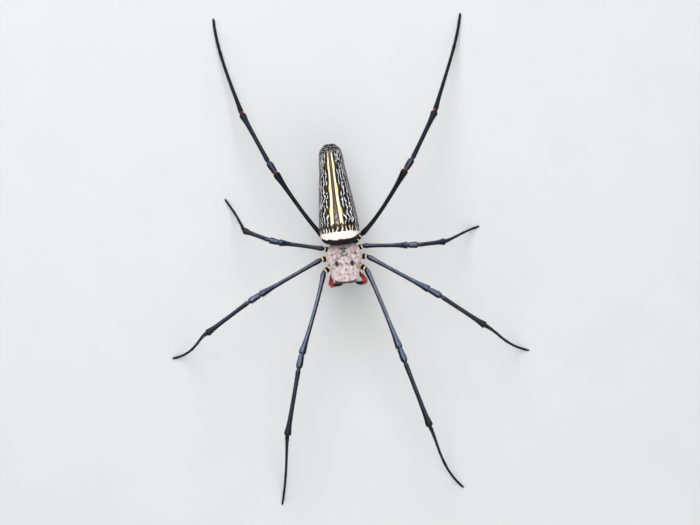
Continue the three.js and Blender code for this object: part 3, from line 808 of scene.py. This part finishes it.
def makeSpinnerets():
    behind, level, shares = spinnerets["behind"], spinnerets["level"], evenly(spinnerets["rings"])
    bm = bmesh.new()
    bmesh.ops.create_uvsphere(bm, u_segments=40, v_segments=20, radius=spinnerets["moundRadius"])
    bmesh.ops.scale(bm, vec=spinnerets["moundShape"], verts=bm.verts)
    bmesh.ops.translate(bm, vec=(0, behind, level - 0.5), verts=bm.verts)
    for aside, along, size in spinnerets["cones"]:
        start = Vector((aside * 0.7, behind + along * 0.6, level - 0.6))
        stop = Vector((aside * 0.85, behind + along * 1.1 + 0.5,
                       level - spinnerets["length"] * (0.45 + 0.55 * size)))
        line = [start.lerp(stop, share) for share in shares]
        radii = [size * readRows(spinnerets["outline"], share)[0] for share in shares]
        addTube(bm, drawAlong(line, radii, spinnerets["turns"], Vector((0, 1, 0)), ahead=stop - start))
    finishPiece("spinneretSkin", bm, abdomenSpace, spinneretFinish(), ["spinnerets"])


def spinneretFinish():
    look = Finish("spinneretBrown", Roughness=0.5)
    place = look.place()
    colour = look.blend(look.noise(place, 2300, 3).ramp(0.35, 0.65), (0.05, 0.03, 0.02), (0.16, 0.1, 0.06))
    return look.set(Base_Color=colour, Normal=look.bump(look.noise(place, 6000, 3), 0.04, 0.5))


# Jaws and fangs
jaws = {
    "top": (1.75, 12.35, 20.9), "end": (1.65, 11.4, 13.2), "radius": 1.6, "rings": 64, "turns": 64,
    "outline": [(0, 0.7), (0.06, 0.88), (0.25, 1.0), (0.55, 0.92), (0.8, 0.76), (0.92, 0.63), (0.975, 0.5),
                (1, 0.3)],
    "fang": [(1.95, 11.45, 13.5), (1.75, 11.4, 11.35), (0.45, 10.95, 11.5)],
    "fangOutline": [(0, 0.3), (0.1, 0.48), (0.26, 0.46), (0.34, 0.36), (0.55, 0.27), (0.8, 0.15), (1, 0.03)],
    "fangFlat": 0.8, "fangRings": 28, "fangTurns": 24,
    "boss": (0.13, 0.93), "bossSize": (0.06, 0.2), "bossHeight": 0.16, "brow": 0.12, "endFurrow": 0.06,
}


def jawFinish():
    look = Finish("jawBlack", Roughness=0.3, Coat_Weight=0.4, Coat_Roughness=0.2)
    place = look.place()
    grain = look.noise(place, 3000, 4)
    colour = look.blend(look.noise(place, 800).ramp(0.4, 0.7), (0.006, 0.006, 0.007), (0.02, 0.014, 0.013))
    return look.set(Base_Color=colour, Normal=look.bump(grain, 0.05, 0.5), Roughness=0.24 + grain * 0.2)


def fangFinish():
    look = Finish("fangDark", Roughness=0.18, Coat_Weight=0.6, Coat_Roughness=0.1)
    way = look.skinMap()[1]
    colour = look.blend(way.ramp(0.2, 0.9), (0.06, 0.012, 0.006), (0.008, 0.003, 0.003))
    fleck = look.noise(look.place(), 2500).ramp(0.5, 0.7) * 0.4
    return look.set(Base_Color=look.blend(fleck, colour, (0.1, 0.03, 0.015)))


def makeJaws():
    jawLook, fangLook = jawFinish(), fangFinish()
    forward = Vector((0, -1, 0))
    for name, side in sides.items():
        top, end = spot(jaws["top"], side), spot(jaws["end"], side)
        # rings closer at the ends
        shares = [0.5 - 0.5 * math.cos(math.pi * share) for share in evenly(jaws["rings"])]
        radii = [jaws["radius"] * readRows(jaws["outline"], share)[0] for share in shares]
        line = [top.lerp(end, share) for share in shares]
        bm = drawAlong(line, radii, jaws["turns"], forward, ahead=end - top)
        mapSkin(bm, shares, 1)
        bm.normal_update()
        along = bm.verts.layers.float["along"]
        for vert in bm.verts:
            share, outward = vert[along], vert.normal.x * side
            boss = oval(share, outward, jaws["boss"], jaws["bossSize"])
            brow = max(0, -vert.normal.y) * bell(share - 0.16, 0.16)
            vert.co += vert.normal * (jaws["brow"] * brow - jaws["endFurrow"] * bell(share - 0.9, 0.05)
                                      + jaws["bossHeight"] * bell(boss, 1.0))
        addMark(bm, "fur", lambda vert: 0.3 + 0.7 * vert[along])
        addMark(bm, "tone", lambda vert: 1)
        skins[f"jaw_{name}"] = finishPiece(f"cheliceraSkin_{name}", bm, bodySpace, jawLook,
                                           [f"chelicera_{name}"])
        points, shares = [spot(place, side) for place in jaws["fang"]], evenly(jaws["fangRings"])
        radii = [readRows(jaws["fangOutline"], share)[0] for share in shares]
        line = [bezier(points, share) for share in shares]
        bm = drawAlong(line, radii, jaws["fangTurns"], forward, jaws["fangFlat"])
        mapSkin(bm, shares, 1)
        finishPiece(f"fangHorn_{name}", bm, bodySpace, fangLook, [f"fang_{name}"])


# Feelers beside the jaws
palps = {
    "left": [(1.9, 9.5, 16.8), (3.2, 9.9, 17.3), (4.45, 10.7, 18.1), (5.7, 12.1, 18.6), (6.3, 13.6, 17.5),
             (4.9, 14.1, 16.0), (3.1, 13.7, 14.8)],
    "right": [(-1.9, 9.5, 16.8), (-3.2, 9.9, 17.3), (-4.3, 10.7, 18.1), (-4.7, 12.3, 18.5),
              (-4.85, 13.85, 17.2), (-3.3, 14.1, 15.6), (-1.1, 14.0, 14.4)],
    "outline": [(0, 0.4), (0.04, 0.55), (0.12, 0.56), (0.155, 0.46), (0.17, 0.5), (0.28, 0.52), (0.4, 0.62),
                (0.445, 0.66), (0.46, 0.56), (0.475, 0.62), (0.52, 0.78), (0.56, 0.74), (0.575, 0.6),
                (0.59, 0.66), (0.63, 0.7), (0.7, 0.6), (0.715, 0.5), (0.73, 0.56), (0.82, 0.58),
                (0.92, 0.48), (1, 0.25)],
    "rings": 150, "turns": 28, "darkFrom": 0.73,  # from where the hair is dark
}


def curveThrough(points, count):  # a smooth line through spots, even along its length
    line = []
    for k, (start, stop) in enumerate(zip(points, points[1:])):
        before, after = points[max(k - 1, 0)], points[min(k + 2, len(points) - 1)]
        for t in evenly(24)[:-1]:
            line.append(0.5 * (2 * start + (stop - before) * t
                               + (2 * before - 5 * start + 4 * stop - after) * t * t
                               + (3 * start - before - 3 * stop + after) * t ** 3))
    line.append(points[-1])
    ways = [0.0]
    for a, b in zip(line, line[1:]):
        ways.append(ways[-1] + (b - a).length)
    made, k = [], 0
    for share in evenly(count):
        target = ways[-1] * share
        while k < len(line) - 2 and ways[k + 1] < target:
            k += 1
        made.append(line[k].lerp(line[k + 1], (target - ways[k]) / (ways[k + 1] - ways[k])))
    return made


def palpFinish():
    look = Finish("palpRed", Roughness=0.36, Specular_IOR_Level=0.35)
    way = look.skinMap()[1]
    place = look.place()
    cloud = look.noise(place, 1300, 3)
    colour = look.blend(way.near(0.56, 0.05, 0.1), (0.19, 0.005, 0.008), (0.52, 0.045, 0.018))
    colour = look.blend(cloud.ramp(0.45, 0.7) * 0.3, colour, (0.42, 0.05, 0.02))
    colour = look.blend(way.ramp(0.09, 0.05), colour, (0.05, 0.02, 0.015))
    colour = look.blend((way + cloud * 0.03).ramp(0.715, 0.74), colour, (0.012, 0.016, 0.013))
    return look.set(Base_Color=colour, Normal=look.bump(look.noise(place, 4500, 3), 0.05, 0.5))


def makePalps():
    finish = palpFinish()
    shares = evenly(palps["rings"])
    radii = [readRows(palps["outline"], share)[0] for share in shares]
    for name in sides:
        line = curveThrough([spot(place) for place in palps[name]], palps["rings"])
        bm = drawAlong(line, radii, palps["turns"], Vector((0, 0, 1)))
        mapSkin(bm, shares, 1)
        along = bm.verts.layers.float["along"]
        addMark(bm, "fur", lambda vert: 0.4 + 0.6 * bell(vert[along] - 0.6, 0.45))
        addMark(bm, "tone", lambda vert: vert[along] > palps["darkFrom"])
        skins[f"palp_{name}"] = finishPiece(f"palpSkin_{name}", bm, bodySpace, finish,
                                            [f"palp_{name}"])


# Legs by pair, from the front: root and hip are spots on the left side
legs = {
    # coxa, girth and foot widen the hip, the long pieces and the foot; the value after foot turns the
    # painted blue sheen outward;
    # black takes the painted sheen away; red is the joint skin at knee, shin and ankle
    "pairs": [
        {"root": (2.6, 7.1, 17.1), "hip": (6.95, 9.6, 18.6), "lengths": (29.8, 4.8, 22.8),
         "coxa": 1.1, "girth": 1.05, "foot": 1, "paintedSheenOut": 0.22, "black": 0, "red": (0.35, 0.2, 0.3)},
        {"root": (2.75, 5.1, 17.1), "hip": (7.75, 5.6, 18.4), "lengths": (25.3, 4.5, 18.5),
         "coxa": 1.1, "girth": 1.02, "foot": 1, "paintedSheenOut": 0.06, "black": 0, "red": (0.35, 0.2, 0.3)},
        {"root": (2.65, 3.1, 17.1), "hip": (6.65, 2.0, 18.0), "lengths": (15.8, 3.5, 11.2),
         "coxa": 1, "girth": 1, "foot": 0.95, "paintedSheenOut": 0.06, "black": 0.2, "red": (0.35, 0.2, 0.3)},
        {"root": (2.3, 1.2, 16.9), "hip": (6.2, -1.7, 17.4), "lengths": (26.45, 4.3, 20.3),
         "coxa": 1.1, "girth": 1.05, "foot": 1.25, "paintedSheenOut": 0.06, "black": 0.94, "red": (1.1, 0.2, 1.3)}],
    # turn and lift of femur, patella and tibia; the femur's bow; the foot's turn, reach, start and end
    "poses": {
        "left": [((18.4, 21), (17.5, 7), (17, -10.5), 0.25, (24.5, 24.8, (22, -58), (46, -8))),
                 ((57.3, 27.6), (56, 2.5), (52.5, -20.5), 0, (56.5, 17.9, (58, -59), (74, -8))),
                 ((86.4, 25.2), (87.5, -0.5), (93, -39), 0, (109.3, 13.1, (106, -58), (104, -8))),
                 ((141.6, 16.9), (143.5, -7.5), (150.2, -30), -0.85, (161, 34.5, (160, -22), (170, -8)))],
        "right": [((19, 23), (16, 9), (14, -13.5), -0.4, (9.5, 24.6, (9, -57), (14, -8))),
                  ((64, 28.2), (61.5, 11.5), (57.5, -21.5), 0, (59, 15.4, (72, -72), (84, -8))),
                  ((102, 24.8), (108.5, -4), (114.5, -39.5), 0, (150.5, 12.8, (155, -52), (147, -8))),
                  ((147.4, 10), (151, -2.5), (155.2, -25.5), -0.5, (167, 33.85, (163, -33), (179, -8)))]},
    "footPull": (0.38, 0.28), "tipLevel": 0.14, "bowPlace": 0.3, "gap": 0.3,
    "turns": 24, "step": 0.34, "mapLength": 110,
    "endRings": (0, 0.06, 0.14, 0.24),  # rings set closer at the ends of a piece
    "fur": {"hip": 0.5, "femur": 0.55, "patella": 0.6, "tibia": 0.75, "foot": 1.0},
    # radii: share of the piece's length, radius
    "hip": [(0, 0.45), (0.08, 0.72), (0.4, 1.0), (0.56, 1.0), (0.63, 0.86), (0.655, 0.72), (0.68, 0.76),
            (0.72, 0.84), (0.9, 0.8), (0.97, 0.72), (1, 0.56)],
    "femur": [(0, 0.6), (0.008, 0.74), (0.02, 0.84), (0.035, 0.86), (0.06, 0.82), (0.14, 0.7), (0.4, 0.62),
              (0.65, 0.64), (0.8, 0.74), (0.9, 0.93), (0.955, 1.09), (0.98, 1.12), (0.993, 1.03), (1, 0.78)],
    "patella": [(0, 0.72), (0.035, 0.88), (0.1, 0.92), (0.3, 0.93), (0.6, 1.04), (0.85, 1.01), (0.94, 0.88),
                (1, 0.6)],
    "tibia": [(0, 0.56), (0.012, 0.68), (0.04, 0.73), (0.06, 0.73), (0.12, 0.69), (0.3, 0.65), (0.55, 0.66),
              (0.75, 0.73), (0.86, 0.84), (0.93, 1.02), (0.965, 1.1), (0.985, 1.06), (1, 0.72)],
    "foot": [(0, 0.56), (0.008, 0.62), (0.03, 0.66), (0.05, 0.64), (0.1, 0.55), (0.2, 0.48), (0.3, 0.45),
             (0.45, 0.42), (0.6, 0.4), (0.67, 0.45), (0.695, 0.42), (0.7, 0.35), (0.71, 0.37), (0.74, 0.39),
             (0.85, 0.37), (0.95, 0.35), (0.985, 0.31), (1, 0.2)],
}


def legPaths(number, name):
    # the middle lines of a leg's pieces, from hip to foot
    side, pair, pose = sides[name], legs["pairs"][number], legs["poses"][name][number]
    gap = legs["gap"]
    root, hip = spot(pair["root"], side), spot(pair["hip"], side)
    paths = [("hip", [root, hip.lerp(root, 0.2 / (hip - root).length)])]
    joint = hip
    for piece, (turn, lift), length in zip(("femur", "patella", "tibia"), pose, pair["lengths"]):
        way = heading(turn, lift, side)
        start, stop = joint + way * gap * 0.7, joint + way * (length - gap * 0.7)
        points = [start, stop]
        if piece == "femur" and pose[3]:
            ahead = (stop - start).cross(Vector((0, 0, side))).normalized()
            points.insert(1, start.lerp(stop, legs["bowPlace"]) - ahead * 2 * pose[3])
        paths.append((piece, points))
        joint = joint + way * length
    turn, reach, start, stop = pose[4]
    tip = joint + heading(turn, 0, side) * reach
    tip.z = legs["tipLevel"]
    chord = (tip - joint).length
    startWay, stopWay = heading(*start, side), heading(*stop, side)
    paths.append(("foot", [joint + startWay * gap, joint + startWay * chord * legs["footPull"][0],
                           tip - stopWay * chord * legs["footPull"][1], tip]))
    return paths


def legStations(number, name):
    # every ring of a leg: its middle, its way, its radius and its marks
    pair = legs["pairs"][number]
    black = pair["black"]
    stations = []
    for piece, points in legPaths(number, name):
        girth = pair[{"hip": "coxa", "foot": "foot"}.get(piece, "girth")]
        line = [bezier(points, share) for share in evenly(400)]
        last, ways = len(line) - 1, [(b - a).length for a, b in zip(line, line[1:])]
        length = sum(ways)
        count = max(6, round(length / legs["step"]))
        near = [at / length for at in legs["endRings"]]
        shares = sorted({round(share, 5) for share in
                         evenly(count)[1:-1] + near + [1 - share for share in near]})
        for share in shares:
            # even shares along the bent line
            target, walked, k = share * length, 0, 0
            while k < last - 1 and walked + ways[k] < target:
                walked += ways[k]
                k += 1
            middle = line[k].lerp(line[k + 1], min((target - walked) / ways[k], 1))
            ahead = (line[min(k + 2, last)] - line[max(k - 1, 0)]).normalized()
            stations.append({
                "piece": piece, "middle": middle, "ahead": ahead,
                "radius": girth * readRows(legs[piece], share)[0],
                "cream": max(bell(share - 0.63, 0.075), bell(share - 0.93, 0.07)) if piece == "hip" else 0,
                # dusk takes the painted sheen away: all of it on hip and foot, more of it down the tibia
                "dusk": {"hip": 1, "femur": black + 0.15 * bell(share, 0.1), "patella": black * 0.7,
                         "tibia": max(black, 0.5 + 0.35 * share ** 3), "foot": 1}[piece],
                "knee": {"hip": 0, "femur": share ** 2, "patella": 1, "tibia": 0.7 * (1 - share),
                         "foot": 0}[piece],
                "fur": legs["fur"][piece]})
    return stations


def makeLeg(number, name):
    pair, side = legs["pairs"][number], sides[name]
    stations = legStations(number, name)
    rings, way = [], 0
    for last, this in zip([stations[0]] + stations, stations):
        way += (this["middle"] - last["middle"]).length
        rings.append(way)
    frames = [ringFrame(s["middle"], s["ahead"], Vector((0, 0, 1)), s["radius"]) for s in stations]
    for k in (0, -1):
        frames[k] = ringFrame(stations[k]["middle"], stations[k]["ahead"], Vector((0, 0, 1)), 0.02)
    bm = drawTube(frames, legs["turns"])
    mapSkin(bm, rings, legs["mapLength"])
    for vert in bm.verts:  # the sole lies flat on the floor
        vert.co.z = max(vert.co.z, 0.0)
    bm.normal_update()

    ring = bm.verts.layers.int["ring"]
    pieces = [station["piece"] for station in stations]
    joints = [(rings[pieces.index(piece)], red)
              for piece, red in zip(("patella", "tibia", "foot"), pair["red"])]

    def membrane(vert):  # the red joint skins show most on the inner side
        inward = max(0, -side * vert.normal.x)
        return (0.3 + 0.7 * inward) * max(red * bell(rings[vert[ring]] - at, 0.5) for at, red in joints)

    # the painted sheen: the side of the leg that faces up, back and a little outward, toward the lamps, is
    # marked to be painted as a blue highlight
    paintedSheenWay = Vector((side * pair["paintedSheenOut"], 0.42, 0.88)).normalized()
    addMark(bm, "paintedSheenFacing", lambda vert: vert.normal.dot(paintedSheenWay))
    addMark(bm, "membrane", membrane)
    for mark in ("cream", "dusk", "knee", "fur"):
        addMark(bm, mark, lambda vert: stations[vert[ring]][mark])
    addMark(bm, "tone", lambda vert: 1)
    nodes = [f"leg{number + 1}_{name}_{piece}" for piece in legs["fur"]]
    return finishPiece(f"leg{number + 1}Skin_{name}", bm, bodySpace, legLook, nodes)


claws = {
    "each": [(0.1, 0.42, 0.05), (-0.1, 0.42, 0.05), (0, 0.26, 0.04)],  # aside, reach, thickness
    "outline": [(0, 0.9), (0.2, 1), (0.6, 0.75), (1, 0.15)], "arch": 0.14, "end": 0.03,
    "rings": 10, "turns": 8,
}


def makeClaws(number, name):
    # two claws and a small middle one at the end of a foot, clear of the floor
    points = legPaths(number, name)[-1][1]
    tip, way = points[-1], (points[-1] - points[-2]).normalized()
    across = way.cross(Vector((0, 0, 1))).normalized()
    bm = bmesh.new()
    for aside, reach, thick in claws["each"]:
        start = tip - way * 0.12 + across * aside + Vector((0, 0, 0.02))
        bend = start + way * reach * 0.8 + across * aside * 0.8 + Vector((0, 0, claws["arch"]))
        stop = start + way * reach + across * aside * 0.5
        stop.z = claws["end"]
        line = [bezier([start, bend, stop], share) for share in evenly(claws["rings"])]
        radii = [thick * readRows(claws["outline"], share)[0] for share in evenly(claws["rings"])]
        addTube(bm, drawAlong(line, radii, claws["turns"], Vector((0, 0, 1))))
    finishPiece(f"leg{number + 1}Claws_{name}", bm, bodySpace, clawLook, [])


def clawFinish():
    look = Finish("clawBlack", Roughness=0.22, Coat_Weight=0.3)
    shade = look.noise(look.place(), 3000).ramp(0.4, 0.65)
    return look.set(Base_Color=look.blend(shade, (0.006, 0.005, 0.005), (0.03, 0.016, 0.01)))


def legFinish():
    look = Finish("legBlueBlack", Specular_IOR_Level=0.12, Specular_Tint=(0.82, 0.88, 1, 1),
                  Coat_Roughness=0.2)
    place = look.place()
    across, way = look.skinMap()
    streak = look.noise(look.join(across * 34, way * 55, 1.7), 1.0, 4, 0.6)
    fine = look.noise(place, 5200, 3)
    dusk = look.mark("dusk")
    # a painted sheen: where a leg faces the lamps, up and back, it is painted blue grey as a highlight; its
    # sides and belly are nearly black
    paintedSheenFacing = look.mark("paintedSheenFacing") + (streak - 0.5) * 0.12
    back = paintedSheenFacing.ramp(0.68, 0.96)
    gloss = paintedSheenFacing.ramp(0.1, 0.6)
    # the painted sheen's hue wanders, and is steel blue near the knees
    hue = (look.noise(place, 420, 2) * 0.9 + look.mark("knee") * 0.55).ramp(0.45, 0.85)
    paintedSheenSteel = look.blend(hue, (0.18, 0.18, 0.25), (0.13, 0.2, 0.35))
    blue = look.blend(streak.ramp(0.38, 0.64), (0.05, 0.058, 0.1), paintedSheenSteel)
    # the painted blue highlight goes on here, and dusk takes it away
    colour = look.blend(back * (1 - dusk * 0.96), (0.004, 0.004, 0.006), blue)
    pores = look.cells(look.join(across * 26, way * 420), 1.0).ramp(0.22, 0.1)
    colour = look.blend(pores * 0.6, colour, (0.006, 0.006, 0.008))
    membrane = (look.mark("membrane") + fine * 0.2 - 0.1).ramp(0.15, 0.75)
    colour = look.blend(membrane, colour, (0.42, 0.07, 0.035))
    cream = (look.mark("cream") + fine * 0.3 - 0.15).ramp(0.3, 0.6)
    creamColour = look.blend(fine.ramp(0.35, 0.6), (0.6, 0.36, 0.12), (0.95, 0.8, 0.5))
    colour = look.blend(cream, colour, creamColour)
    bump = look.bump(look.noise(look.join(across * 60, way * 160), 1.0, 3), 0.05, 0.5)
    bump = look.bump(1 - pores, 0.03, 0.5, bump)
    rough = 0.26 + streak * 0.14 + dusk * 0.25
    return look.set(Base_Color=colour, Normal=bump, Roughness=rough, Coat_Weight=gloss * (0.55 - dusk * 0.5))


def hairFinish(name, pale, dark, rough):
    look = Finish(name, Roughness=rough, Specular_IOR_Level=0.6)
    shade = look.mark("shade")
    patch = look.noise(look.place(), 2000, 3).ramp(0.36, 0.48)
    light = look.blend(shade * 0.25 + patch * 0.75, tuple(value * 0.36 for value in pale), pale)
    deep = look.blend(shade, tuple(value * 0.6 for value in dark), dark)
    return look.set(Base_Color=look.blend(look.mark("tone"), light, deep))


coats = {
    "shield": {"count": 9500, "length": 0.62, "width": 0.055, "rise": 0.3, "stray": 0.22, "seed": 11},
    "abdomen": {"count": 5200, "length": 0.34, "width": 0.028, "rise": 0.45, "stray": 0.2, "seed": 12},
    "leg": {"count": 2600, "length": 0.52, "width": 0.03, "rise": 0.42, "stray": 0.18, "seed": 20},
    "spines": {"count": 42, "length": 1.25, "width": 0.07, "rise": 0.75, "stray": 0.12, "seed": 40},
    "palp": {"count": 1000, "length": 0.6, "width": 0.035, "rise": 0.5, "stray": 0.2, "seed": 60},
    "jaw": {"count": 520, "length": 0.8, "width": 0.035, "rise": 0.6, "stray": 0.25, "seed": 70},
    "breast": {"count": 900, "length": 0.5, "width": 0.03, "rise": 0.5, "stray": 0.3, "seed": 80},
}

# The room, in metres
studio = {
    "camera": (-0.0003, -0.00112, 0.9), "lens": 139.04, "sensor": 36, "clip": (0.01, 10),
    "floorSize": 3, "floorLevel": -0.00002, "floorColours": [(0.6, 0.6, 0.59), (0.64, 0.64, 0.63)],
    "roomColour": (0.82, 0.88, 1, 1), "roomStrength": 0.3,
    "lights": [  # name, place, size, power, colour
        ("keyLight", (-0.06, 0.24, 0.72), 0.5, 3.0, (1, 0.98, 0.96)),
        ("skyLight", (-0.12, 0.6, 0.5), 0.36, 3.0, (0.9, 0.95, 1)),
        ("fillLight", (0.16, -0.46, 0.58), 0.9, 3.8, (1, 0.98, 0.96)),
        ("rimLight", (-0.6, 0.1, 0.3), 0.3, 0.5, (0.95, 0.97, 1))],
}


def makeStudio():
    # the camera looks straight down at the animal's back
    camera = bpy.data.cameras.new("photoCamera")
    camera.lens = studio["lens"]
    camera.sensor_width = studio["sensor"]
    camera.clip_start, camera.clip_end = studio["clip"]
    holder = bpy.data.objects.new("photoCamera", camera)
    holder.location = studio["camera"]
    bpy.context.scene.collection.objects.link(holder)
    bpy.context.scene.camera = holder

    bm = bmesh.new()
    bmesh.ops.create_grid(bm, x_segments=1, y_segments=1, size=studio["floorSize"])
    mesh = bpy.data.meshes.new("floor")
    bm.to_mesh(mesh)
    bm.free()
    floor = bpy.data.objects.new("floor", mesh)
    bpy.context.scene.collection.objects.link(floor)
    floor.location.z = studio["floorLevel"]
    look = Finish("paleFloor", Roughness=0.85)
    colour = look.blend(look.noise(look.place(), 40), *studio["floorColours"])
    mesh.materials.append(look.set(Base_Color=colour))

    world = bpy.data.worlds.new("softRoom")
    world.use_nodes = True
    room = world.node_tree.nodes["Background"].inputs
    room["Color"].default_value = studio["roomColour"]
    room["Strength"].default_value = studio["roomStrength"]
    bpy.context.scene.world = world
    for name, place, size, power, colour in studio["lights"]:
        light = bpy.data.lights.new(name, "AREA")
        light.size = size
        light.energy = power
        light.color = colour
        holder = bpy.data.objects.new(name, light)
        holder.location = place
        holder.rotation_euler = (-Vector(place)).to_track_quat("-Z", "Y").to_euler()
        bpy.context.scene.collection.objects.link(holder)
    bpy.context.scene.view_settings.view_transform = "Standard"


skins = {}
eyeLook = eyeFinish()
legLook = legFinish()
clawLook = clawFinish()

makeStudio()
print("studio is up")
skins["shield"] = makeShield()
makeEyes()
skins["breast"] = makeBreast()
print("head and thorax are done")
skins["abdomen"] = makeAbdomen()
makeWaist()
makeSpinnerets()
print("abdomen is done")
makeJaws()
makePalps()
print("jaws and feelers are done")
for name in sides:
    for number in range(4):
        skins[f"leg_{name}_{number}"] = makeLeg(number, name)
        makeClaws(number, name)
print("legs are done")

silver = hairFinish("hairSilver", (0.95, 0.81, 0.8), (0.03, 0.022, 0.02), 0.4)
darkHair = hairFinish("hairDark", (0.3, 0.27, 0.25), (0.03, 0.027, 0.027), 0.35)
redHair = hairFinish("hairRed", (0.14, 0.012, 0.01), (0.025, 0.025, 0.023), 0.4)
plantHair("carapaceHair", skins["shield"], coats["shield"], silver)
plantHair("abdomenHair", skins["abdomen"], coats["abdomen"], darkHair)
plantHair("sternumHair", skins["breast"], coats["breast"], darkHair)
for name in sides:
    plantHair(f"palpHair_{name}", skins[f"palp_{name}"], coats["palp"], redHair)
    plantHair(f"jawHair_{name}", skins[f"jaw_{name}"], coats["jaw"], darkHair)
    for number in range(4):
        for kind, coat in (("Hair", coats["leg"]), ("Spines", coats["spines"])):
            coat = dict(coat, seed=coat["seed"] + number + (4 if name == "left" else 0))  # each leg its own
            plantHair(f"leg{number + 1}{kind}_{name}", skins[f"leg_{name}_{number}"], coat, darkHair)
print("hair is planted")
